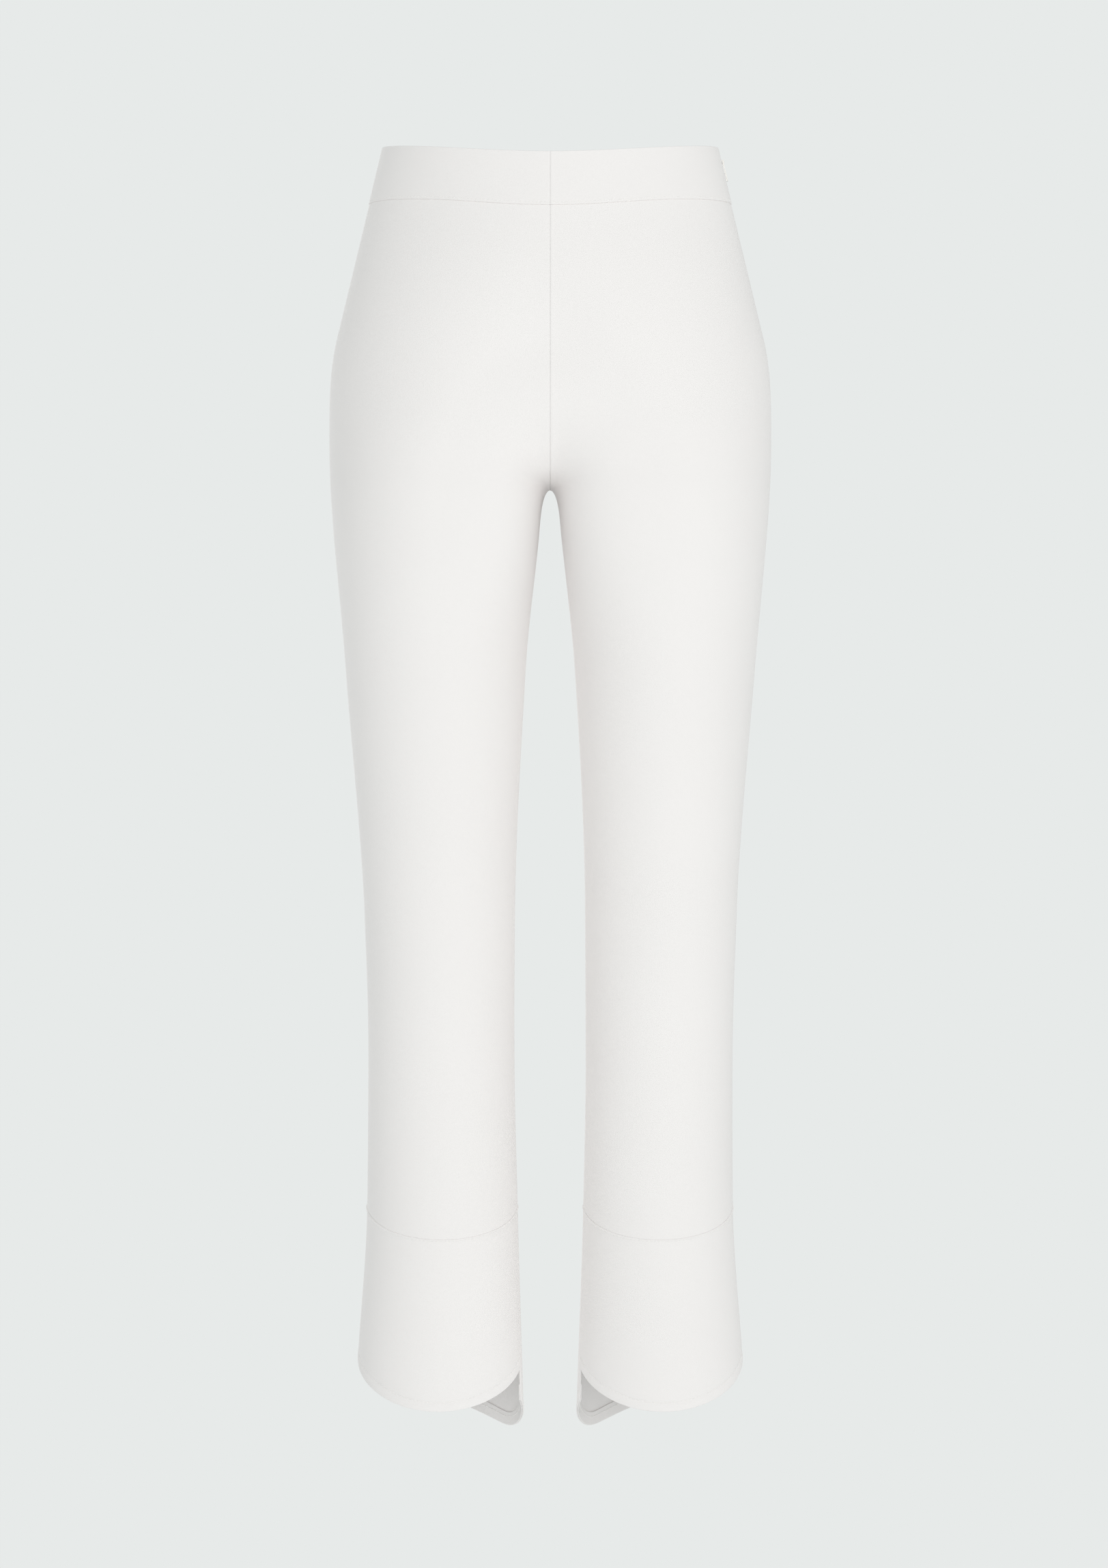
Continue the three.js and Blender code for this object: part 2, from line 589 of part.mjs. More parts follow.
function waistHook() {
  const arm = HOOK_DEPTH + HOOK_PLATE + RUN_GAP;
  const plate = block([HOOK_DEPTH, HOOK_DEPTH + HOOK_PLATE], [-HOOK_REACH, -1], hookHeights(0));
  const step = block([HOOK_DEPTH, arm + HOOK_PLATE], [-2, -1], hookHeights(0.6));
  const tongue = block([arm, arm + HOOK_PLATE], [-2, 6.2], hookHeights(1.2));
  const lip = block([HOOK_DEPTH - 0.2, arm + HOOK_PLATE], [5.6, 6.2], hookHeights(1.2));
  return joined(plate, step, tongue, lip);
}

// The bar plate has a slot that the hook's lip drops into.
function waistBar() {
  const depth = [HOOK_DEPTH, HOOK_DEPTH + HOOK_PLATE];
  const bars = [[1.5, 5], [6.8, HOOK_REACH]].map((across) => block(depth, across, hookHeights(0)));
  const ends = [0, HOOK_HEIGHT - 0.8].map((drop) =>
    block(depth, [1.6, HOOK_REACH - 0.1], [HOOK_DROP + drop, HOOK_DROP + drop + 0.8]),
  );
  return joined(...bars, ...ends);
}

// ---- Hanger loop: a folded ribbon sewn in under the band's facing ----

function hangerLoop() {
  const bottom = LOOP_RADIUS - LOOP_LENGTH;
  const outline = new THREE.Shape();
  outline.moveTo(-RIBBON, 0);
  outline.lineTo(-LOOP_RADIUS, bottom);
  outline.absarc(0, bottom, LOOP_RADIUS, Math.PI, 2 * Math.PI, false);
  outline.lineTo(RIBBON, 0);
  const inside = new THREE.Path();
  inside.moveTo(0, -10);
  inside.lineTo(LOOP_RADIUS - RIBBON, bottom);
  inside.absarc(0, bottom, LOOP_RADIUS - RIBBON, 2 * Math.PI, Math.PI, true);
  outline.holes.push(inside);
  const loop = extruded(outline, LOOP_WIDTH);
  const angle = Math.PI - LOOP_FROM_SIDE / legRadius(0);
  const top = skinPoint(waistHeight(angle) - LOOP_DROP, angle);
  const inset = FACING_DEPTH + FACING + LAYER_GAP + RIBBON + LOOP_CLEAR;
  return joined(loop.rotateX(Math.PI / 2).translate(top.x - inset, top.y + LOOP_WIDTH / 2, top.z));
}

// ---- Assembly ----

const mirrored = (geometry) => facingOut(geometry.clone().scale(-1, 1, 1));
const inZipFrame = (geometry) => geometry.applyMatrix4(zipFrame());

const CLOTH_LOOK = { color: 0xf0eeec, roughness: 0.82, metalness: 0 };
const BAND_LOOK = { color: 0xefedeb, roughness: 0.8, metalness: 0 };
const INSIDE_LOOK = { color: 0xe6e4e0, roughness: 0.88, metalness: 0 };
const TAPE_LOOK = { color: 0xeceae6, roughness: 0.7, metalness: 0 };
const NYLON_LOOK = { color: 0xf2f0ec, roughness: 0.45, metalness: 0 };
const SLIDER_LOOK = { color: 0xe9e7e3, roughness: 0.4, metalness: 0.1 };
const METAL_LOOK = { color: 0xb9bbbd, roughness: 0.3, metalness: 1 };
const LABEL_LOOK = { color: 0xf6f6f4, roughness: 0.5, metalness: 0 };

const trousers = new THREE.Group();
trousers.name = "trousers";

function add(name, geometry, look) {
  const mesh = new THREE.Mesh(geometry, new THREE.MeshStandardMaterial(look));
  mesh.name = name;
  trousers.add(mesh);
}

for (const [place, face] of [["front", -1], ["back", 1]]) {
  add(`${place}_panel_left`, legPanel(face, zipSeam), CLOTH_LOOK);
  add(`${place}_panel_right`, mirrored(legPanel(face)), CLOTH_LOOK);
  for (const [side, turn] of [["left", (g) => g], ["right", mirrored]]) {
    add(`${place}_cuff_${side}`, turn(cuff(face)), CLOTH_LOOK);
    add(`${place}_hem_facing_${side}`, turn(hemFacing(face)), INSIDE_LOOK);
  }
  add(`waistband_${place}_left`, band(face, zipSeam), BAND_LOOK);
  add(`waistband_${place}_right`, mirrored(band(face)), BAND_LOOK);
  add(`waistband_facing_${place}_left`, bandFacing(face, () => SLIDER_HALF + 0.6), INSIDE_LOOK);
  add(`waistband_facing_${place}_right`, mirrored(bandFacing(face)), INSIDE_LOOK);
  add(`zip_tape_${place}`, zipTape(face), TAPE_LOOK);
  add(`zip_coil_${place}`, inZipFrame(zipCoil(face)), NYLON_LOOK);
}
add("zip_bottom_stop", inZipFrame(zipBottomStop()), NYLON_LOOK);
add("zip_slider", inZipFrame(zipSlider()), SLIDER_LOOK);
add("zip_pull", inZipFrame(zipPull()), SLIDER_LOOK);
add("waist_hook", inZipFrame(waistHook()), METAL_LOOK);
add("waist_bar", inZipFrame(waistBar()), METAL_LOOK);
add("hanger_loop_left", hangerLoop(), INSIDE_LOOK);
add("hanger_loop_right", mirrored(hangerLoop()), INSIDE_LOOK);
add("care_label", mirrored(careLabel()), LABEL_LOOK);

export default trousers;
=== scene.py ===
import math

import bpy
import numpy as np
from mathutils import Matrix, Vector


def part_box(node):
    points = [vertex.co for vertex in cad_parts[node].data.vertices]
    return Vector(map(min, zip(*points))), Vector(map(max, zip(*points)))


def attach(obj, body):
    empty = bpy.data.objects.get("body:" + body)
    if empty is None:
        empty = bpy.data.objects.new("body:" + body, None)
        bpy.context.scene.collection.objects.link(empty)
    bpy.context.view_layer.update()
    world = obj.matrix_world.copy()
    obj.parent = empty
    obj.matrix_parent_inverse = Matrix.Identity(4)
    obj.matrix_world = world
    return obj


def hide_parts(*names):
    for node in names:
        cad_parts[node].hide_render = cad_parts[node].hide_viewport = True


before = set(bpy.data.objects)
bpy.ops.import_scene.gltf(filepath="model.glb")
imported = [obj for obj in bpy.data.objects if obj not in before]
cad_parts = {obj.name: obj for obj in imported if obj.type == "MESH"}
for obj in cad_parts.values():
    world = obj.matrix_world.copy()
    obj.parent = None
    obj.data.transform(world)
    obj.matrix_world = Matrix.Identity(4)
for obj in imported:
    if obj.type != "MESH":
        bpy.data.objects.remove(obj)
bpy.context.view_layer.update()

MM = 0.001

# ---------------------------------------------------------------- camera, stage and light


def srgb(r, g, b):
    """Linear colour from 0-255 values."""
    return [(c / 255 / 12.92) if c <= 10 else ((c / 255 + 0.055) / 1.055) ** 2.4 for c in (r, g, b)]


BACKDROP = srgb(231, 234, 233)
FRAME_HEIGHT = 1.217  # metres of the plane of the side seams that the picture's height covers
CAMERA_DISTANCE = 4.5
CAMERA_X, CAMERA_Z = 0.0029, -0.493


def make_camera():
    data = bpy.data.cameras.new("camera")
    data.sensor_width = 36
    data.sensor_fit = "AUTO"
    data.lens = data.sensor_width * CAMERA_DISTANCE / FRAME_HEIGHT
    data.clip_end = 60
    cam = bpy.data.objects.new("camera", data)
    cam.location = (CAMERA_X, -CAMERA_DISTANCE, CAMERA_Z)
    cam.rotation_euler = (math.pi / 2, 0, 0)
    bpy.context.scene.collection.objects.link(cam)
    bpy.context.scene.camera = cam


def make_world():
    world = bpy.data.worlds.new("studio")
    world.use_nodes = True
    back = world.node_tree.nodes["Background"]
    back.inputs["Color"].default_value = (*BACKDROP, 1)
    back.inputs["Strength"].default_value = 1.0
    nodes, links = world.node_tree.nodes, world.node_tree.links
    # the backdrop keeps its own tone, and lights the cloth a little less
    lit = nodes.new("ShaderNodeBackground")
    lit.inputs["Color"].default_value = (*BACKDROP, 1)
    lit.inputs["Strength"].default_value = 0.785
    path, mix = nodes.new("ShaderNodeLightPath"), nodes.new("ShaderNodeMixShader")
    links.new(path.outputs["Is Camera Ray"], mix.inputs["Fac"])
    links.new(lit.outputs[0], mix.inputs[1])
    links.new(back.outputs[0], mix.inputs[2])
    links.new(mix.outputs[0], nodes["World Output"].inputs["Surface"])
    bpy.context.scene.world = world
    bpy.context.scene.view_settings.view_transform = "Standard"


def make_light(name, place, target, size, power, colour=(1, 1, 1)):
    data = bpy.data.lights.new(name, "AREA")
    data.shape = "RECTANGLE"
    data.size, data.size_y = size
    data.energy = power
    data.color = colour
    lamp = bpy.data.objects.new(name, data)
    lamp.location = place
    lamp.rotation_euler = (Vector(target) - Vector(place)).to_track_quat("-Z", "Y").to_euler()
    bpy.context.scene.collection.objects.link(lamp)


def make_floor():
    """A pale floor, the same tone as the surroundings, below the hanging garment."""
    count, radius, height = 64, 20.0, -3.0
    ring = [(radius * math.cos(2 * math.pi * i / count), radius * math.sin(2 * math.pi * i / count), height)
            for i in range(count)]
    mesh = bpy.data.meshes.new("floor")
    mesh.from_pydata(ring, [], [tuple(range(count))])
    floor = bpy.data.objects.new("floor", mesh)
    bpy.context.scene.collection.objects.link(floor)
    mat = bpy.data.materials.new("floor")
    mat.use_nodes = True
    nodes, links = mat.node_tree.nodes, mat.node_tree.links
    bsdf = nodes["Principled BSDF"]
    bsdf.inputs["Base Color"].default_value = (0, 0, 0, 1)
    bsdf.inputs["Roughness"].default_value = 1
    bsdf.inputs["Specular IOR Level"].default_value = 0
    bsdf.inputs["Emission Color"].default_value = (*BACKDROP, 1)
    bsdf.inputs["Emission Strength"].default_value = 1
    mesh.materials.append(mat)


make_camera()
make_world()
make_light("key", (1.9, -3.6, 0.6), (0, 0, -0.45), (2.0, 2.4), 27, (1, 0.985, 0.975))
make_light("front", (0.3, -4.4, -0.2), (0, 0, -0.5), (1.8, 2.2), 27.5, (1, 0.99, 0.985))
make_light("back", (-1.2, 3.9, 0.3), (0, 0, -0.45), (2.4, 2.6), 48, (1, 0.985, 0.975))
make_floor()

# ---------------------------------------------------------------- sizes, as the CAD model has them (mm)

RISE, WAISTBAND_HEIGHT, ZIP_LENGTH = 265, 43.5, 147
BAND_END, ZIP_END, CROTCH = -WAISTBAND_HEIGHT, -ZIP_LENGTH, -RISE
HIP = CROTCH + 38
KNEE = CROTCH - 325
CUFF_TOP = KNEE - 229
HEM = CUFF_TOP - 119
MID_THIGH = CROTCH - 325 * 0.43
MID_SHIN = KNEE - 229 * 0.5
FRONT_DIP, BACK_RISE = 12, 5
CUFF_SEAM_SAG, HEM_SAG = 23.5, 36.6
TAIL_DROP, TAIL_FROM_INSEAM, TAIL_INNER_SLOPE, TAIL_INNER_ROUNDING, TAIL_OUTER_ROUNDING = 57.4, 50, 0.72, 14, 4
WAIST_HALF_WIDTH, ZIP_END_HALF_WIDTH, HIP_HALF_WIDTH = 129.8, 165.6, 171.6
MID_THIGH_HALF_WIDTH, KNEE_HALF_WIDTH, CUFF_HALF_WIDTH, HEM_HALF_WIDTH = 158.6, 144.6, 142.2, 149.8
MID_THIGH_HALF_GAP, KNEE_HALF_GAP, CUFF_HALF_GAP, HEM_HALF_GAP = 19.2, 27, 25.4, 21.6
WAIST_FRONT, BELLY_FRONT, THIGH_FRONT, LEG_FRONT = 92, 108, 78, 61
WAIST_BACK, SEAT_BACK, THIGH_BACK, LEG_BACK = 90, 117, 76, 62
INSEAM_TURN, INSEAM_SETTLE = math.radians(12), 70
CLOTH, LAYER_GAP, BAND_PROUD, FACING, HEM_TURN = 1.1, 0.35, 0.6, 0.8, 10.5
ZIP_TOP, TAPE_WIDTH, TAPE, TAPE_TAIL = 9, 11, 0.5, 10
COIL_THICK, STOP_LENGTH = 1.3, 3.5
LABEL_DROP, LABEL_WIDTH, LABEL_HEIGHT = 62, 34, 48
TAPE_DEPTH = CLOTH + LAYER_GAP
FACING_DEPTH = TAPE_DEPTH + TAPE + 1.6 * LAYER_GAP
COIL_DEPTH = TAPE_DEPTH + TAPE + LAYER_GAP


def profile(*points):
    """The CAD model's smooth curve through (height, value) points, some with a slope of their own."""
    z = np.array([p[0] for p in points], float)
    v = np.array([p[1] for p in points], float)
    secant = np.diff(v) / np.diff(z)
    m = np.zeros(len(z))
    for i, p in enumerate(points):
        if len(p) > 2:
            m[i] = p[2]
        elif i in (0, len(z) - 1):
            m[i] = secant[0 if i == 0 else -1]
        elif secant[i - 1] * secant[i] > 0:
            m[i] = 2 * secant[i - 1] * secant[i] / (secant[i - 1] + secant[i])

    def at(q):
        q = np.asarray(q, float)
        i = np.clip(np.searchsorted(-z, -q, "right") - 1, 0, len(z) - 2)
        step = z[i + 1] - z[i]
        t = (q - z[i]) / step
        value = (2 * t**3 - 3 * t**2 + 1) * v[i] + (3 * t**2 - 2 * t**3) * v[i + 1]
        value = value + ((t**3 - 2 * t**2 + t) * m[i] + (t**3 - t**2) * m[i + 1]) * step
        value = np.where(q >= z[0], v[0] + m[0] * (q - z[0]), value)
        return np.where(q <= z[-1], v[-1] + m[-1] * (q - z[-1]), value)

    return at


def lerp(a, b, t):
    return a + (b - a) * t


def smoothstep(t):
    t = np.clip(t, 0, 1)
    return t * t * (3 - 2 * t)


ZIP_FLARE = (ZIP_END_HALF_WIDTH - WAIST_HALF_WIDTH) / ZIP_END
ZIP_LEAN = (5 + 3) / ZIP_END
outer_half_width = profile(
    (0, WAIST_HALF_WIDTH, ZIP_FLARE), (ZIP_END, ZIP_END_HALF_WIDTH, ZIP_FLARE), (HIP, HIP_HALF_WIDTH, 0),
    (MID_THIGH, MID_THIGH_HALF_WIDTH), (KNEE, KNEE_HALF_WIDTH), (MID_SHIN, CUFF_HALF_WIDTH - 0.8, 0),
    (CUFF_TOP, CUFF_HALF_WIDTH), (HEM, HEM_HALF_WIDTH))
seam_depth = profile((0, -3, ZIP_LEAN), (ZIP_END, 5, ZIP_LEAN), (CROTCH, 3), (KNEE, -3, 0), (CUFF_TOP, 6), (HEM, 8))
half_gap = profile((CROTCH, 6.5, -0.03), (MID_THIGH, MID_THIGH_HALF_GAP), (KNEE, KNEE_HALF_GAP),
                   (MID_SHIN, KNEE_HALF_GAP + 0.6, 0), (CUFF_TOP, CUFF_HALF_GAP), (HEM, HEM_HALF_GAP))
CROTCH_CENTRE = float(outer_half_width(CROTCH) + half_gap(CROTCH)) / 2
rise_centre = profile(
    (BAND_END, 0, 0), *[(lerp(BAND_END, CROTCH, t), s * CROTCH_CENTRE)
                        for t, s in ((0.26, 0.25), (0.48, 0.51), (0.7, 0.77), (0.86, 0.93))],
    (CROTCH, CROTCH_CENTRE, 0.011))
front_depth = profile((0, WAIST_FRONT), (ZIP_END, BELLY_FRONT, 0), (CROTCH, BELLY_FRONT - 7),
                      (MID_THIGH, THIGH_FRONT), (KNEE, LEG_FRONT + 1), (CUFF_TOP, LEG_FRONT, 0), (HEM, LEG_FRONT + 1))
back_depth = profile((0, WAIST_BACK), (ZIP_END, SEAT_BACK - 4), (HIP + 20, SEAT_BACK, 0),
                     (CROTCH - 30, SEAT_BACK - 19), (MID_THIGH, THIGH_BACK), (KNEE, LEG_BACK + 1),
                     (MID_SHIN, LEG_BACK + 1, 0), (CUFF_TOP, LEG_BACK, 0), (HEM, LEG_BACK + 1))
bridging = profile((BAND_END, 0, 0), (ZIP_END, 18), (HIP + 25, 56, 0), (CROTCH + 13, 43), (CROTCH, 26),
                   (CROTCH - 30, 16), (MID_THIGH, 6), (KNEE, 1, 0))
squareness = profile((ZIP_END, 2, 0), (CROTCH, 3.3), (MID_THIGH, 2, 0))


class Level:
    """The outline's sizes at each of an array of heights."""

    def __init__(self, z):
        z = np.asarray(z, float)
        wide = outer_half_width(z)
        below = (wide + half_gap(z)) / 2
        self.centre = np.where(z > BAND_END, 0.0, np.where(z > CROTCH, rise_centre(z), below))
        self.radius = wide - self.centre
        self.middle = seam_depth(z)
        self.front, self.back = front_depth(z), back_depth(z)
        self.web = np.maximum(bridging(z), 1e-6)
        self.square = squareness(z)
        self.wide = wide


def leg_distance(x, y, lv):
    aside, back = x - lv.centre, y - lv.middle
    depth = np.where(back < 0, lv.front, lv.back)
    u, v = np.abs(aside) / lv.radius, np.abs(back) / depth
    power = np.where((aside < 0) & (back < 0), lv.square, 2.0)
    reach = (u**power + v**power) ** (1 / power)
    slope = np.hypot(u ** (power - 1) / lv.radius, v ** (power - 1) / depth)
    return (reach - 1) * reach ** (power - 1) / np.maximum(slope, 1e-9)


def skin_distance(x, y, lv):
    near, far = leg_distance(x, y, lv), leg_distance(-x, y, lv)
    overlap = np.maximum(lv.web - np.abs(near - far), 0)
    return np.minimum(near, far) - overlap**2 / (4 * lv.web)


def bisect(low, high, inside):
    for _ in range(36):
        middle = (low + high) / 2
        within = inside(middle)
        low, high = np.where(within, middle, low), np.where(within, high, middle)
    return (low + high) / 2


FORK = float(bisect(HIP, CROTCH - 40, lambda z: skin_distance(0.0, seam_depth(z), Level(z)) < 0))


def skin_point(z, angle):
    z, angle = np.broadcast_arrays(np.asarray(z, float), np.asarray(angle, float))
    lv = Level(z)
    dx, dy = -np.cos(angle), np.sin(angle)

    def inside(t):
        x = lv.centre + dx * t
        return (x > -0.05) & (skin_distance(x, lv.middle + dy * t, lv) < 0)

    r = bisect(np.zeros(z.shape), 1.6 * (lv.wide + lv.back), inside)
    return np.stack([lv.centre + dx * r, lv.middle + dy * r, z], -1)


def skin_normal(p):
    x, y, z = p[..., 0], p[..., 1], p[..., 2]
    e = 0.05
    here, above, under = Level(z), Level(z + e), Level(z - e)
    n = np.stack([skin_distance(x + e, y, here) - skin_distance(x - e, y, here),
                  skin_distance(x, y + e, here) - skin_distance(x, y - e, here),
                  skin_distance(x, y, above) - skin_distance(x, y, under)], -1)
    return n / np.linalg.norm(n, axis=-1, keepdims=True)


def inner_angle(z, face):
    """Where a piece ends: the centre seam above the fork, the inseam below it."""
    z = np.asarray(z, float)
    lv = Level(z)
    limit = 1.3 * (lv.front if face < 0 else lv.back)
    edge = bisect(np.zeros(z.shape), limit, lambda t: skin_distance(0.0, lv.middle + face * t, lv) < 0)
    above = face * np.arctan2(edge, lv.centre)
    return np.where(z <= FORK, -INSEAM_TURN * smoothstep((FORK - z) / INSEAM_SETTLE), above)


def waist_bow(angle, power):
    s = np.sin(angle)
    return BACK_RISE * np.maximum(0, s) ** 2 - FRONT_DIP * np.maximum(0, -s) ** power


def waist_height(angle):
    return waist_bow(angle, 1.4)


def band_seam(angle):
    return BAND_END + 0.8 * waist_bow(angle, 2.5)


def cuff_seam(angle):
    return CUFF_TOP - CUFF_SEAM_SAG * np.abs(np.sin(angle))


HEM_RADIUS = float(Level(HEM).radius)


def hem_line(angle, face):
    if face < 0:
        return HEM + HEM_SAG * np.minimum(0, np.sin(angle))
    along = HEM_RADIUS * (angle + INSEAM_TURN) - TAIL_FROM_INSEAM
    whole = HEM_RADIUS * (math.pi + INSEAM_TURN) - TAIL_FROM_INSEAM
    rounding = np.where(along < 0, TAIL_INNER_ROUNDING, TAIL_OUTER_ROUNDING)
    outer = np.sqrt((TAIL_DROP + rounding) ** 2 - rounding**2) / whole
    climb = along * np.where(along < 0, TAIL_INNER_SLOPE, outer)
    return HEM - TAIL_DROP + np.hypot(climb, rounding) - rounding


# ---------------------------------------------------------------- the cloth's own relief


def bump(value, centre, width):
    return np.exp(-(((value - centre) / width) ** 2))


def relief(point, side):
    """How far the worn cloth stands off its smooth shape, in mm outwards. side is +1 left, -1 right."""
    x, y, z = point[..., 0], point[..., 1], point[..., 2]
    shift = 7.0 * side
    out = np.zeros(z.shape)
    front = smoothstep((4 - y) / 30)
    back = smoothstep((y - 12) / 30)
    # soft drag lines that fan from the crotch over the front of the thigh
    for turn, reach, height in ((0.35, 95, 0.7), (0.75, 120, 0.55), (1.15, 100, 0.4)):
        dx, dz = x - 4, z - (FORK + 12)
        along = dx * math.cos(turn) + dz * math.sin(turn)
        across = -dx * math.sin(turn) + dz * math.cos(turn)
        out += front * height * bump(across, 2.0 * side, 8 + 0.05 * reach) * bump(along, 0.45 * reach, 0.5 * reach)
    # slack under the seat
    for drop, height, width in ((-34, 1.5, 11), (-62, -1.2, 12), (-92, 0.9, 14)):
        sag = 0.0022 * (x - 88) ** 2
        out += back * height * bump(z - CROTCH - sag, drop + 0.4 * shift, width) * bump(x, 92, 62)
    # shallow folds behind the knee and a slight break above the cuff seam
    for drop, height, width, lean in ((34, 0.9, 13, 0.18), (2, -1.1, 12, -0.12), (-30, 0.8, 14, 0.1)):
        out += back * height * bump(z - KNEE + lean * (x - 86) * side, drop - shift, width)
    for drop, height, width, lean in ((52, 0.35, 16, 0.12), (14, -0.35, 15, -0.1), (-24, 0.3, 17, 0.14)):
        out += front * height * bump(z - KNEE + lean * (x - 86) * side, drop + shift, width)
    # long shallow waves down the leg
    turn = np.arctan2(y, x - 86)
    leg = smoothstep((FORK - 40 - z) / 90)
    out += leg * 0.4 * np.sin(2 * turn + z / 150 + 0.7 * side) * np.sin(z / 97 + 1.3 * side)
    # the centre seams, which join the two sides, hold the cloth still
    return out * lerp(smoothstep(x / 24), 1.0, smoothstep((FORK - z) / 60))


# ---------------------------------------------------------------- meshes

THREAD_LENGTH, THREAD_GAP, THREAD_RADIUS = 2.6, 0.55, 0.2
EDGE_STEPS = (0, 0.05, 0.17, 0.34, 0.55, 1.0, 1.9, 3.2)
SHIFT_FROM = 0.72  # columns beyond this share of the width follow the sharp turn at the fork


def link(name, verts, faces, uv=None, smooth=True):
    """A mesh object from arrays, in mm. uv holds one pair per vertex, in metres."""
    mesh = bpy.data.meshes.new(name)
    mesh.from_pydata((np.asarray(verts) * MM).tolist(), [], np.asarray(faces).tolist())
    if smooth:
        mesh.polygons.foreach_set("use_smooth", [True] * len(mesh.polygons))
    if uv is not None:
        layer = mesh.uv_layers.new(name="cloth")
        index = np.zeros(len(mesh.loops), int)
        mesh.loops.foreach_get("vertex_index", index)
        layer.data.foreach_set("uv", np.asarray(uv)[index].astype(np.float32).ravel())
    mesh.update()
    obj = bpy.data.objects.new(name, mesh)
    bpy.context.scene.collection.objects.link(obj)
    return obj


def tube_faces(count, around):
    """The side faces of a tube: count rings of around points each."""
    i, k = np.arange(count - 1)[:, None] * around, np.arange(around)[None, :]
    after = (k + 1) % around
    return np.stack([i + k, i + after, i + around + after, i + around + k], -1).reshape(-1, 4)


def spaced(length, step, extra=()):
    """Distances from 0 to length: close together at both ends and at the extra distances."""
    ends = [e for e in EDGE_STEPS if e < length * 0.45]
    middle = np.linspace(ends[-1], length - ends[-1], max(2, int(round((length - 2 * ends[-1]) / step)) + 1))
    values = np.concatenate([ends, middle[1:-1], length - np.array(ends), [e for e in extra if 0 < e < length]])
    values = np.unique(np.round(values, 4))
    return values[np.concatenate([[True], np.diff(values) > 0.03])]


def roll(distance, radius):
    """How far a rounded edge falls away from the face, at a distance from the edge."""
    k = np.clip(1 - distance / radius, 0, 1)
    return radius * (1 - np.sqrt(1 - k * k))


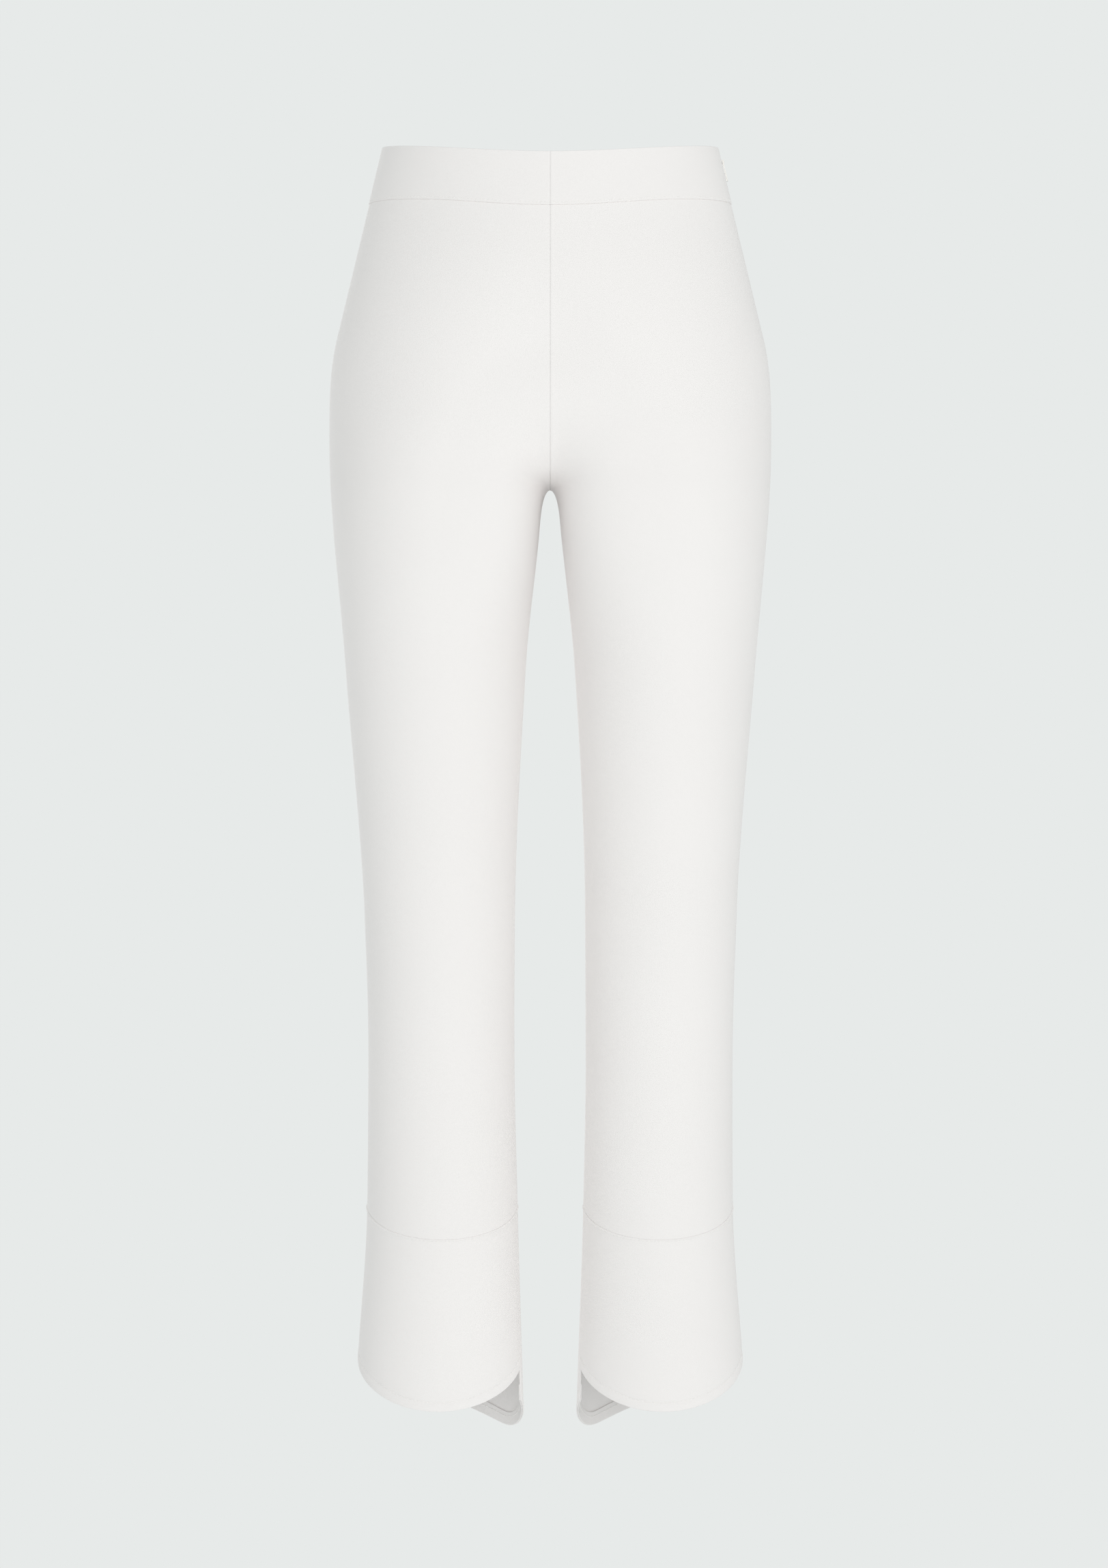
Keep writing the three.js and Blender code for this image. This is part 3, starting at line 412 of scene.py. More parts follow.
class Patch:
    """One cloth piece laid out on the skin as a grid of rows down and columns round."""

    def __init__(self, face, side, rows, start, stop, top, bottom, step=4.0, soft_edges=(1, 1, 1, 1), dip=0.3,
                 ridge=None, column_extra=(), inner_gap=0.04, smooth_end=None, rounding=(1, 1, 1, 1), thin=None):
        # rows: list of (height function, distance from the upper edge, distance from the lower edge)
        # start, stop: angle functions of height; soft_edges: dip at upper, lower, first and last edge
        # thin: how much the inner face is pared away, by distance from the upper edge
        self.face, self.side = face, side
        heights = [r[0] for r in rows]
        from_top = np.array([r[1] for r in rows], float)
        from_bottom = np.array([r[2] for r in rows], float)
        probe = np.array([float(h(np.array(face * math.pi / 2))) for h in heights])
        a0 = start(np.array([float(h(np.array(math.pi))) for h in heights]))
        z1 = probe
        for _ in range(2):
            a1 = stop(z1)
            z1 = np.array([float(h(np.array(a))) for h, a in zip(heights, a1)])
        lv = Level(probe)
        ends = skin_point(z1, a1)
        r0 = Level(z1).radius
        r1 = np.hypot(ends[:, 0] - Level(z1).centre, ends[:, 1] - Level(z1).middle)
        width = np.abs(a1 - a0) * (lv.radius + (lv.front if face < 0 else lv.back)) / 2
        mean = float(np.median(width))
        s = spaced(mean, step, column_extra)
        near1 = (mean - s) <= EDGE_STEPS[-1] + 1e-6
        near0 = (s <= max([EDGE_STEPS[-1], *column_extra]) + 1e-6) & ~near1
        d0 = np.where(near0, s, 0)[None, :] / r0[:, None]
        d1 = np.where(near1, mean - s, 0)[None, :] / r1[:, None]
        last0, first1 = np.where(near0)[0].max(), np.where(near1)[0].min()
        sign = np.sign(a1 - a0)
        left = a0 + sign * s[last0] / r0
        right = a1 - sign * (mean - s[first1]) / r1
        share = np.clip((s - s[last0]) / max(s[first1] - s[last0], 1e-6), 0, 1)
        calm = right if smooth_end is None else smooth_end(z1)
        last = np.clip((share - SHIFT_FROM) / (1 - SHIFT_FROM), 0, 1) ** 1.6
        A = left[:, None] + (calm - left)[:, None] * share[None, :] + (right - calm)[:, None] * last[None, :]
        A = np.where(near0[None, :], a0[:, None] + sign[:, None] * d0, A)
        A = np.where(near1[None, :], a1[:, None] - sign[:, None] * d1, A)
        Z = np.stack([h(A[i]) for i, h in enumerate(heights)])
        self.P = skin_point(Z, A)
        self.N = skin_normal(self.P)
        lift = relief(self.P, side)
        su0, su1 = s[None, :], (mean - s)[None, :]
        sv0, sv1 = from_top[:, None], from_bottom[:, None]
        half = (bottom - top) / 2
        fall = 0 * Z
        for distance, share_round in zip((sv0, sv1, su0, su1), rounding):
            fall = np.maximum(fall, roll(distance, half * share_round))
        sink = dip * (soft_edges[0] * bump(sv0, 0, 1.6) + soft_edges[1] * bump(sv1, 0, 1.6)
                      + soft_edges[2] * bump(su0, 0, 1.6) + soft_edges[3] * bump(su1, 0, 1.6)) + 0 * Z
        if ridge is not None:
            sink = sink + ridge(sv0 + 0 * Z, sv1 + 0 * Z, su0 + 0 * Z, su1 + 0 * Z)
        out_depth = top + fall + sink - lift
        in_depth = bottom - fall + sink - lift
        if thin is not None:
            in_depth = in_depth - thin(sv0 + 0 * Z)
        outer = self.P - self.N * out_depth[..., None]
        inner = self.P - self.N * in_depth[..., None]
        floor_x = inner_gap / 2
        outer[..., 0] = np.maximum(outer[..., 0], floor_x)
        inner[..., 0] = np.maximum(inner[..., 0], floor_x)
        self.outer, self.inner = outer, inner
        self.from_bottom, self.from_top, self.s = from_bottom, from_top, s

    def area(self):
        o = self.outer
        a, b = o[1:, :-1] - o[:-1, :-1], o[:-1, 1:] - o[:-1, :-1]
        return float(np.linalg.norm(np.cross(a, b), axis=-1).sum())

    def flat(self):
        across = np.linalg.norm(np.diff(self.outer, axis=1), axis=-1).sum(1).max()
        down = np.linalg.norm(np.diff(self.outer, axis=0), axis=-1).sum(0).max()
        return float(across), float(down)

    def build(self, name):
        rows, cols = self.outer.shape[:2]
        o, n = self.outer.copy(), self.inner.copy()
        size = rows * cols
        grid = np.arange(size).reshape(rows, cols)
        inside = np.zeros((rows, cols), bool)
        inside[1:-1, 1:-1] = True
        back = grid.copy()
        back[inside] = size + np.arange(inside.sum())
        middle = (o + n) / 2
        o[~inside] = middle[~inside]
        verts = np.concatenate([o.reshape(-1, 3), n[inside]])
        down = np.concatenate([[0], np.cumsum(np.median(np.linalg.norm(np.diff(o, axis=0), axis=-1), axis=1))])
        steps = np.linalg.norm(np.diff(o, axis=1), axis=-1)
        round_ = np.concatenate([np.zeros((rows, 1)), np.cumsum(steps, axis=1)], 1)
        uv = np.stack([round_, np.broadcast_to(-down[:, None], round_.shape)], -1) * MM
        uv = np.concatenate([uv.reshape(-1, 2), uv[inside]])

        def quads(g):
            return np.stack([g[:-1, :-1], g[1:, :-1], g[1:, 1:], g[:-1, 1:]], -1).reshape(-1, 4)

        front, rear = quads(grid), quads(back)[:, ::-1]
        a, b, c = o[rows // 2, cols // 2], o[rows // 2 + 1, cols // 2], o[rows // 2 + 1, cols // 2 + 1]
        if np.dot(np.cross(b - a, c - a), self.N[rows // 2, cols // 2]) < 0:
            front, rear = front[:, ::-1], rear[:, ::-1]
        faces = np.concatenate([front, rear])
        if self.side < 0:
            verts = verts * np.array([-1, 1, 1])
            faces = faces[:, ::-1]
        return link(name, verts, faces, uv)

    def line(self, distance, where="bottom", proud=0.0):
        """Points and normals on the outer face along a line at a distance from an edge."""
        if where in ("bottom", "top"):
            d = self.from_bottom if where == "bottom" else self.from_top
            order = np.argsort(d)
            k = int(np.searchsorted(d[order], distance))
            i, j = order[max(k - 1, 0)], order[min(k, len(order) - 1)]
            t = 0 if i == j else (distance - d[i]) / (d[j] - d[i])
            p, n = lerp(self.outer[i], self.outer[j], t), self.N[i]
        else:
            d = self.s if where == "start" else self.s[-1] - self.s
            order = np.argsort(d)
            k = int(np.searchsorted(d[order], distance))
            i, j = order[max(k - 1, 0)], order[min(k, len(order) - 1)]
            t = 0 if i == j else (distance - d[i]) / (d[j] - d[i])
            p, n = lerp(self.outer[:, i], self.outer[:, j], t), self.N[:, i]
        mirror = np.array([self.side, 1, 1])
        return (p + n * proud) * mirror, n * mirror


def stitches(name, lines, radius=THREAD_RADIUS, length=THREAD_LENGTH, gap=THREAD_GAP):
    """Rows of separate sewn stitches, each a short bowed thread, along (points, normals) lines."""
    verts, faces, base = [], [], 0
    around = np.arange(6) * math.pi / 3
    for points, normals in lines:
        steps = np.linalg.norm(np.diff(points, axis=0), axis=1)
        keep = np.concatenate([[True], steps > 1e-6])
        points, normals = points[keep], normals[keep]
        run = np.concatenate([[0], np.cumsum(np.linalg.norm(np.diff(points, axis=0), axis=1))])
        count = int((run[-1] - 1) / (length + gap))
        if count < 1:
            continue
        start = (run[-1] - count * (length + gap)) / 2 + gap / 2 + np.arange(count) * (length + gap)
        t = np.array([0, 0.1, 0.3, 0.7, 0.9, 1.0])
        at = start[:, None] + t[None, :] * length
        p = np.stack([np.interp(at, run, points[:, k]) for k in range(3)], -1)
        n = np.stack([np.interp(at, run, normals[:, k]) for k in range(3)], -1)
        n /= np.linalg.norm(n, axis=-1, keepdims=True)
        d = np.gradient(p, axis=1)
        d /= np.linalg.norm(d, axis=-1, keepdims=True)
        b = np.cross(d, n)
        rise = radius * np.array([-1.3, -0.3, 0.35, 0.35, -0.3, -1.3])
        thick = radius * np.array([0.35, 0.85, 1, 1, 0.85, 0.35])
        centre = p + n * rise[None, :, None]
        ring = (centre[:, :, None, :] + thick[None, :, None, None]
                * (np.cos(around)[None, None, :, None] * n[:, :, None, :]
                   + np.sin(around)[None, None, :, None] * b[:, :, None, :]))
        verts.append(ring.reshape(-1, 3))
        one = []
        for i in range(5):
            for k in range(6):
                one.append((i * 6 + k, i * 6 + (k + 1) % 6, (i + 1) * 6 + (k + 1) % 6, (i + 1) * 6 + k))
        one = np.array(one)
        caps = np.array([(0, 1, 2, 3), (0, 3, 4, 5), (33, 32, 31, 30), (35, 34, 33, 30)])[:, ::-1]
        one = np.concatenate([one, caps])
        faces.append((one[None] + (base + 36 * np.arange(count))[:, None, None]).reshape(-1, 4))
        base += 36 * count
    return link(name, np.concatenate(verts), np.concatenate(faces))


# ---------------------------------------------------------------- materials


class Look:
    """A small helper that builds one node material."""

    def __init__(self, name, colour, roughness, metallic=0.0):
        self.mat = bpy.data.materials.new(name)
        self.mat.use_nodes = True
        self.nodes, self.links = self.mat.node_tree.nodes, self.mat.node_tree.links
        self.bsdf = self.nodes["Principled BSDF"]
        self.bsdf.inputs["Metallic"].default_value = metallic
        self.colour, self.roughness = srgb(*colour), roughness
        self.bsdf.inputs["Base Color"].default_value = (*self.colour, 1)
        self.bsdf.inputs["Roughness"].default_value = roughness
        self.place = self.nodes.new("ShaderNodeTexCoord")

    def put(self, kind, **values):
        node = self.nodes.new(kind)
        for key, value in values.items():
            if hasattr(node, key) and not key[0].isupper():
                setattr(node, key, value)
            else:
                node.inputs[key.replace("_", " ")].default_value = value
        return node

    def wire(self, a, b):
        self.links.new(a, b)

    def noise(self, scale, detail=3.0, source="Object"):
        node = self.put("ShaderNodeTexNoise", Scale=scale, Detail=detail)
        self.wire(self.place.outputs[source], node.inputs["Vector"])
        return node.outputs["Fac"]

    def math(self, operation, a, b=None, c=None):
        node = self.put("ShaderNodeMath", operation=operation)
        for i, v in enumerate((a, b, c)):
            if v is None:
                continue
            if isinstance(v, (int, float)):
                node.inputs[i].default_value = v
            else:
                self.wire(v, node.inputs[i])
        return node.outputs[0]

    def ramp(self, value, low, high, dark, light):
        """Base colour from dark to light as value goes from low to high."""
        node = self.put("ShaderNodeMapRange", From_Min=low, From_Max=high)
        self.wire(value, node.inputs["Value"])
        mix = self.nodes.new("ShaderNodeMix")
        mix.data_type = "RGBA"
        self.wire(node.outputs[0], mix.inputs["Factor"])
        mix.inputs["A"].default_value = (*[c * dark for c in self.colour], 1)
        mix.inputs["B"].default_value = (*[min(1, c * light) for c in self.colour], 1)
        self.wire(mix.outputs["Result"], self.bsdf.inputs["Base Color"])
        return mix

    def rough(self, value, low, high):
        node = self.put("ShaderNodeMapRange", From_Min=0.3, From_Max=0.7, To_Min=low, To_Max=high)
        self.wire(value, node.inputs["Value"])
        self.wire(node.outputs[0], self.bsdf.inputs["Roughness"])

    def bump(self, height, distance, strength=1.0):
        node = self.put("ShaderNodeBump", Strength=strength, Distance=distance)
        self.wire(height, node.inputs["Height"])
        self.wire(node.outputs[0], self.bsdf.inputs["Normal"])


def woven(name, colour, roughness, pitch, lean, depth, sheen, mottle=0.012):
    """Cloth: diagonal ribs of the given pitch in metres with threads crossing them, and slight unevenness."""
    look = Look(name, colour, roughness)
    split = look.nodes.new("ShaderNodeSeparateXYZ")
    look.wire(look.place.outputs["UV"], split.inputs[0])
    u, v = split.outputs[0], split.outputs[1]
    turn = 2 * math.pi / pitch
    diagonal = look.math("ADD", look.math("MULTIPLY", u, turn * math.cos(lean)),
                         look.math("MULTIPLY", v, turn * math.sin(lean)))
    rib = look.math("SINE", diagonal)
    weft = look.math("SINE", look.math("MULTIPLY", v, turn * 1.9))
    warp = look.math("SINE", look.math("MULTIPLY", u, turn * 1.9))
    weave = look.math("ADD", look.math("MULTIPLY", rib, 0.6),
                      look.math("MULTIPLY", look.math("MULTIPLY", weft, warp), 0.4))
    slub = look.noise(900, 4.0)
    wide = look.noise(9, 3.0)
    height = look.math("ADD", look.math("MULTIPLY", weave, 0.5), slub)
    tone = look.math("ADD", look.math("MULTIPLY", weave, 0.1),
                     look.math("ADD", look.math("MULTIPLY", slub, 0.5), wide))
    look.ramp(tone, 0.35, 1.15, 1 - mottle, 1 + mottle)
    look.rough(wide, roughness - 0.04, roughness + 0.04)
    look.bump(height, depth)
    look.bsdf.inputs["Sheen Weight"].default_value = sheen
    look.bsdf.inputs["Sheen Roughness"].default_value = 0.45
    look.bsdf.inputs["Specular IOR Level"].default_value = 0.25
    return look.mat


def thread_look(name, colour):
    look = Look(name, colour, 0.6)
    wave = look.put("ShaderNodeTexWave", Scale=900.0, Distortion=0.6)
    look.wire(look.place.outputs["Object"], wave.inputs["Vector"])
    look.ramp(wave.outputs["Fac"], 0, 1, 0.97, 1.01)
    look.bump(wave.outputs["Fac"], 0.00003)
    look.rough(look.noise(300), 0.54, 0.66)
    look.bsdf.inputs["Sheen Weight"].default_value = 0.2
    return look.mat


def enamel_look(name, colour):
    look = Look(name, colour, 0.34)
    worn = look.noise(160, 4.0)
    look.ramp(worn, 0.3, 0.7, 0.985, 1.01)
    look.rough(worn, 0.28, 0.42)
    look.bump(look.noise(700, 2.0), 0.00001)
    look.bsdf.inputs["Coat Weight"].default_value = 0.3
    look.bsdf.inputs["Coat Roughness"].default_value = 0.15
    return look.mat


def steel_look(name, colour):
    look = Look(name, colour, 0.3, 1.0)
    grain = look.put("ShaderNodeTexNoise", Scale=420.0, Detail=3.0)
    stretch = look.put("ShaderNodeMapping")
    stretch.inputs["Scale"].default_value = (1, 1, 0.12)
    look.wire(look.place.outputs["Object"], stretch.inputs["Vector"])
    look.wire(stretch.outputs[0], grain.inputs["Vector"])
    look.ramp(grain.outputs["Fac"], 0.3, 0.7, 0.93, 1.04)
    look.rough(grain.outputs["Fac"], 0.22, 0.38)
    look.bump(grain.outputs["Fac"], 0.00001)
    return look.mat


def nylon_look(name, colour):
    look = Look(name, colour, 0.42)
    streak = look.noise(500, 2.0)
    look.ramp(streak, 0.3, 0.7, 0.97, 1.01)
    look.rough(streak, 0.36, 0.5)
    look.bump(streak, 0.00002)
    look.bsdf.inputs["Subsurface Weight"].default_value = 0.15
    look.bsdf.inputs["Subsurface Radius"].default_value = (0.001, 0.001, 0.001)
    return look.mat


LOOKS = {
    "twill": woven("twill", (246, 243, 242), 0.82, 0.00075, 1.05, 0.00006, 0.12),
    "waistband_twill": woven("waistband_twill", (246, 243, 242), 0.8, 0.00075, -0.52, 0.00006, 0.12),
    "facing": woven("facing", (236, 234, 231), 0.88, 0.0006, 0.8, 0.00004, 0.05),
    "ribbon": woven("ribbon", (240, 238, 234), 0.5, 0.0005, 1.5708, 0.00003, 0.3),
    "zip_tape": woven("zip_tape", (236, 234, 230), 0.75, 0.0009, 0.6, 0.00006, 0.1),
    "label": woven("label", (246, 246, 244), 0.45, 0.0004, 1.5708, 0.00002, 0.3),
    # the thread is whiter than the cloth: partly its own tone, partly a painted highlight so that the seam rows read
    # as bright lines
    "thread": thread_look("thread", (250, 248, 246)),
    "zip_nylon": nylon_look("zip_nylon", (240, 238, 234)),
    "zip_enamel": enamel_look("zip_enamel", (236, 234, 230)),
    "hook_steel": steel_look("hook_steel", (196, 198, 200)),
}

# ---------------------------------------------------------------- the pieces

SIDES = ((1, "left"), (-1, "right"))
FACES = ((-1, "front"), (1, "back"))
SEAM = 0.03
SLIT = 0.62
ALLOWANCE, ALLOWANCE_THICK, ALLOWANCE_DEPTH = 9, 0.5, CLOTH + 0.08
BAND_STITCH, CUFF_STITCH, HEM_STITCH = 1.9, 1.3, 7.0
DART_AT, DART_LENGTH = 92, 92


def dress(obj, look, *nodes, slot=None, body="trousers"):
    """The piece's material, the body it moves with and the CAD nodes it stands for. The slot argument is not used."""
    obj.data.materials.clear()
    obj.data.materials.append(LOOKS[look])
    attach(obj, body)
    if nodes:
        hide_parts(*nodes)
    return obj


def declare(patch):
    across, down = patch.flat()
    area = patch.area() * MM * MM


def side_offset(side, seam=SEAM):
    """Half the opening along the side seam: the zip's slit on the left, and closed below it."""
    if side < 0:
        return lambda z: seam + 0 * z
    return lambda z: lerp(SLIT, seam, smoothstep((ZIP_END - 1 - z) / 7))


def from_side(face, offset):
    """Angle of the side seam edge, a distance in mm from the seam line."""
    return lambda z: face * (math.pi - (offset(z) if callable(offset) else offset) / Level(z).radius)


def to_inner(face, offset=SEAM):
    """Angle of the centre seam or inseam edge. The offset applies below the fork."""

    def stop(z):
        a = inner_angle(z, face)
        lv = Level(z)
        p = skin_point(z, a)
        reach = np.hypot(p[..., 0] - lv.centre, p[..., 1] - lv.middle)
        return a + np.where(z <= FORK, face * offset / reach, 0)

    return stop


def calm_inner(face):
    """The inner edge's angle, averaged over the heights near it, so that inner columns turn gently at the fork."""
    heights = np.arange(-30.0, CUFF_TOP - 60, -2.0)
    angles = inner_angle(heights, face)
    window = np.exp(-(np.arange(-24, 25) * 2.0 / 22) ** 2)
    padded = np.concatenate([np.full(24, angles[0]), angles, np.full(24, angles[-1])])
    soft = np.convolve(padded, window / window.sum(), "valid")
    return lambda z: np.interp(-z, -heights, soft)


def near_inner(face, distance):
    """Angle about a distance in mm short of the centre seam or inseam."""

    def stop(z):
        a = inner_angle(z, face)
        lv = Level(z)
        p = skin_point(z, a)
        reach = np.hypot(p[..., 0] - lv.centre, p[..., 1] - lv.middle)
        tilt = np.where(z > FORK, np.maximum(np.abs(np.sin(a)), 0.35), 1)
        return a + face * distance / reach / tilt

    return stop


def band_rows(face):
    length = -BAND_END

    def height(d):
        return lambda a: lerp(waist_height(a), band_seam(a), d / length)

    return [(height(d), d, length - d) for d in spaced(length, 4, (length - BAND_STITCH + 0.4, length - BAND_STITCH,
                                                                   length - BAND_STITCH - 0.4))]


TUCK = 1.3  # how far a panel's edge runs on under the piece that is sewn over it


def panel_rows():
    length = BAND_END - CUFF_TOP + 2 * TUCK
    fork = BAND_END + TUCK - FORK
    extra = [fork - d for d in (0.15, 0.45, 0.9, 1.5, 2.3, 3.3, 4.6, 6.2, 8.2, 10.8, 14.5, 20)]
    extra += [fork + d for d in (0, 0.6, 1.5, 3, 5.5, 9, 14, 20)]
    extra += [TUCK + d for d in (-0.5, 0, 0.4, 0.8, 1.3, 1.9)]
    extra += [length - TUCK - d for d in (-0.5, 0, 0.4, 0.8, 1.3, 1.9)]

    def height(d):
        up, down = 1 - smoothstep((d - 6) / 60), 1 - smoothstep((length - d - 8) / 120)
        return lambda a: (BAND_END + TUCK - d + (band_seam(a) - BAND_END) * up + (cuff_seam(a) - CUFF_TOP) * down)

    return [(height(d), d, length - d) for d in spaced(length, 4, extra)]


def tucked(*edges):
    """The panel's ends dip under the waistband and under the lower leg piece."""
    return (0.52 * (1 - smoothstep((edges[0] - TUCK + 0.6) / 1.3))
            + 0.34 * (1 - smoothstep((edges[1] - TUCK + 0.5) / 0.9))
            - 0.12 * smoothstep((edges[1] - TUCK) / 0.7) * bump(edges[1], TUCK + 0.6, 2.6))


def hem_offset(a, face, e):
    da = 0.004
    slope = (hem_line(a + da, face) - hem_line(a - da, face)) / (2 * da * HEM_RADIUS)
    return hem_line(a, face) + e * np.sqrt(1 + slope**2)


def cuff_rows(face):
    length = CUFF_TOP - HEM

    def height(d):
        e = length - d

        def at(a):
            if d <= 12:
                return cuff_seam(a) - d
            if e <= 14:
                return hem_offset(a, face, e)
            return lerp(cuff_seam(a) - 12, hem_offset(a, face, 14), (d - 12) / (length - 26))

        return at

    extra = [CUFF_STITCH - 0.4, CUFF_STITCH, CUFF_STITCH + 0.4]
    extra += [length - HEM_STITCH + k for k in (-0.8, -0.4, 0, 0.4, 0.8)]
    extra += [length - HEM_TURN + k for k in (-0.5, 0, 0.5)]
    return [(height(d), d, length - d) for d in spaced(length, 3.5, extra)]


def hem_rows(face, low, high):
    length = high - low
    return [(lambda a, d=d: hem_offset(a, face, high - d), d, length - d) for d in spaced(length, 2)]


def straight_rows(top, bottom, step=4):
    length = top - bottom
    return [(lambda a, d=d: top - d + 0 * a, d, length - d) for d in spaced(length, step)]


def groove(at, where, depth=0.14, width=0.45):
    """A shallow line that sewing draws into the cloth, at a distance from one edge."""
    index = ("top", "bottom", "start", "stop").index(where)
    return lambda *edges: depth * bump(edges[index], at, width)


def join_sinks(*sinks):
    return lambda *edges: sum(s(*edges) for s in sinks)


def centre_ridge(side, face):
    """The centre seam's allowances lie to the wearer's left, and show as a low ridge there."""
    if side < 0 or face > 0:
        return lambda *e: 0.08 * bump(e[3], 0, 0.9)
    return lambda *e: 0.1 * bump(e[3], 0, 0.4) - 0.3 * bump(e[3], 1.2, 0.8)


def dart(*edges):
    top, start = edges[0], edges[2]
    fade = 1 - smoothstep((top - 55) / (DART_LENGTH - 55))
    return fade * (0.42 * bump(start, DART_AT, 0.4) - 0.18 * bump(start, DART_AT + 3.2, 2.6))


def allowance_edges(face):
    """Name, first angle and last angle of the allowances along a piece's two long seams."""
    return (("side", from_side(face, 0.25), from_side(face, ALLOWANCE)),
            ("inner", near_inner(face, ALLOWANCE), near_inner(face, 0.3)))


def allowance(name, face, side, rows, start, stop, **more):
    """A pressed seam allowance, lying against the inside of the cloth."""
    strip = Patch(face, side, rows, start, stop, ALLOWANCE_DEPTH, ALLOWANCE_DEPTH + ALLOWANCE_THICK,
                  step=2.5, dip=0, **more)
    return dress(strip.build(name), "facing", slot="twill")


for side, side_name in SIDES:
    for face, face_name in FACES:
        tag = f"{face_name}_{side_name}"
        edge = from_side(face, side_offset(side))

        # waistband, standing a little proud of the panels
        band = Patch(face, side, band_rows(face), edge, to_inner(face), -BAND_PROUD, CLOTH - BAND_PROUD, step=4,
                     dip=0.1, soft_edges=(0, 0, 1, 0.3), rounding=(1, 0.8, 0.35, 0.35),
                     ridge=join_sinks(groove(BAND_STITCH, "bottom", 0.1), centre_ridge(side, face)))
        piece = dress(band.build(f"cloth_waistband_{tag}"), "waistband_twill", f"waistband_{tag}")
        sewing = stitches(f"stitching_waistband_{tag}", [band.line(BAND_STITCH, "bottom", 0.02)], radius=0.25)
        dress(sewing, "thread", slot="waistband_twill")
        declare(band)

        # leg panel
        extra = ()
        sewn = [centre_ridge(side, face), tucked]
        if face > 0:
            extra = tuple(DART_AT + k for k in (-2.4, -1.5, -0.9, -0.5, -0.25, 0, 0.25, 0.5, 0.9, 1.5, 2.4, 4, 6))
            sewn.append(dart)
        panel = Patch(face, side, panel_rows(), edge, to_inner(face), 0, CLOTH, step=2.6, dip=0.1,
                      soft_edges=(0, 0, 1, 0.3), rounding=(0.4, 0.4, 0.35, 0.35), smooth_end=calm_inner(face),
                      column_extra=extra, ridge=join_sinks(*sewn))
        piece = dress(panel.build(f"cloth_panel_{tag}"), "twill", f"{face_name}_panel_{side_name}")
        trims = []
        for part, start, stop in allowance_edges(face):
            top = ZIP_END - TAPE_TAIL - 4 if (part == "side" and side > 0) else BAND_END - 2
            trims.append(allowance(f"allowance_{part}_{tag}", face, side, straight_rows(top, CUFF_TOP - 1, 6),
                                   start, stop, inner_gap=0.3))
        declare(panel)

        # lower leg piece and its turned hem
        cuff = Patch(face, side, cuff_rows(face), from_side(face, SEAM), to_inner(face), 0, CLOTH, step=3.8,
                     dip=0.1, soft_edges=(0, 0, 1, 1), rounding=(0.7, 1, 0.35, 0.35),
                     thin=lambda d: 0.55 * bump(d, 0, 2.0),
                     ridge=join_sinks(lambda *e: -0.55 * bump(e[0], 1.2, 1.3),
                                      groove(HEM_STITCH, "bottom", 0.36, 0.8),
                                      lambda *e: -0.2 * bump(e[1], 3.2, 2.4),
                                      groove(HEM_TURN, "bottom", 0.06, 0.9)))
        piece = dress(cuff.build(f"cloth_cuff_{tag}"), "twill", f"{face_name}_cuff_{side_name}")
        rows = [(lambda a, t=t, face=face: lerp(cuff_seam(a) - 1, hem_offset(a, face, HEM_TURN + 0.6), t),
                 t * 100, 100 - t * 100) for t in np.linspace(0, 1, 24)]
        trims = [allowance(f"allowance_{part}_cuff_{tag}", face, side, rows, start, stop, inner_gap=0.3)
                 for part, start, stop in allowance_edges(face)]
        turned = Patch(face, side, [(lambda a, d=d: cuff_seam(a) + 9 - d, d, 18 - d) for d in spaced(18, 3)],
                       from_side(face, 0.3), near_inner(face, 0.4), CLOTH + 0.88,
                       CLOTH + 0.88 + ALLOWANCE_THICK, step=5, dip=0)
        trims.append(dress(turned.build(f"allowance_seam_cuff_{tag}"), "facing", slot="twill"))
        sewing = stitches(f"stitching_cuff_{tag}", [cuff.line(CUFF_STITCH, "top", 0.02)], radius=0.25)
        trims.append(dress(sewing, "thread", slot="twill"))
        declare(cuff)

        hem = Patch(face, side, hem_rows(face, 0.12, HEM_TURN), from_side(face, SEAM), to_inner(face),
                    CLOTH + 0.03, CLOTH + 0.03 + FACING, step=3.8, dip=0)
        piece = dress(hem.build(f"cloth_hem_{tag}"), "twill", f"{face_name}_hem_facing_{side_name}", slot="facing")
        inside = hem.line(HEM_TURN - HEM_STITCH, "top")
        turned_in = (inside[0] - inside[1] * (FACING + 0.02), -inside[1])
        sewing = stitches(f"stitching_hem_{tag}", [cuff.line(HEM_STITCH, "bottom", 0.02), turned_in],
                          radius=0.26)
        dress(sewing, "thread", slot="twill")
        declare(hem)

        # waistband facing: folded at the top edge, standing off the zip tape on the left
        length = -BAND_END - 0.2
        rows = [(lambda a, d=d: lerp(waist_height(a) - 0.1, band_seam(a) - 0.62, d / length), d, length - d)
                for d in spaced(length, 4)]
        first = 4.6 if side > 0 else SEAM

        def hang(top, bottom, start, stop, side=side):
            away = smoothstep(top / 12)
            if side > 0:
                away = np.maximum(away, 1 - smoothstep((start - 11) / 14))
            return away * (FACING_DEPTH - 0.6)

        facing = Patch(face, side, rows, from_side(face, first), to_inner(face), 0.6, 0.6 + FACING, step=4, dip=0,
                       ridge=hang)
        piece = dress(facing.build(f"cloth_facing_{tag}"), "facing", f"waistband_facing_{tag}")
        declare(facing)

# ---------------------------------------------------------------- side zip

SEAM_TOP = np.array([WAIST_HALF_WIDTH, float(seam_depth(0)), 0.0])
ALONG = np.array([float(outer_half_width(ZIP_END)), float(seam_depth(ZIP_END)), ZIP_END]) - SEAM_TOP
SEAM_RUN = float(np.linalg.norm(ALONG))
UP = -ALONG / SEAM_RUN
OUT = skin_normal(SEAM_TOP + ALONG * 0.2)
OUT = OUT - UP * OUT.dot(UP)
OUT /= np.linalg.norm(OUT)
ACROSS = np.cross(UP, OUT)
if ACROSS[1] < 0:
    ACROSS = -ACROSS
CHAIN_END = SEAM_RUN - STOP_LENGTH


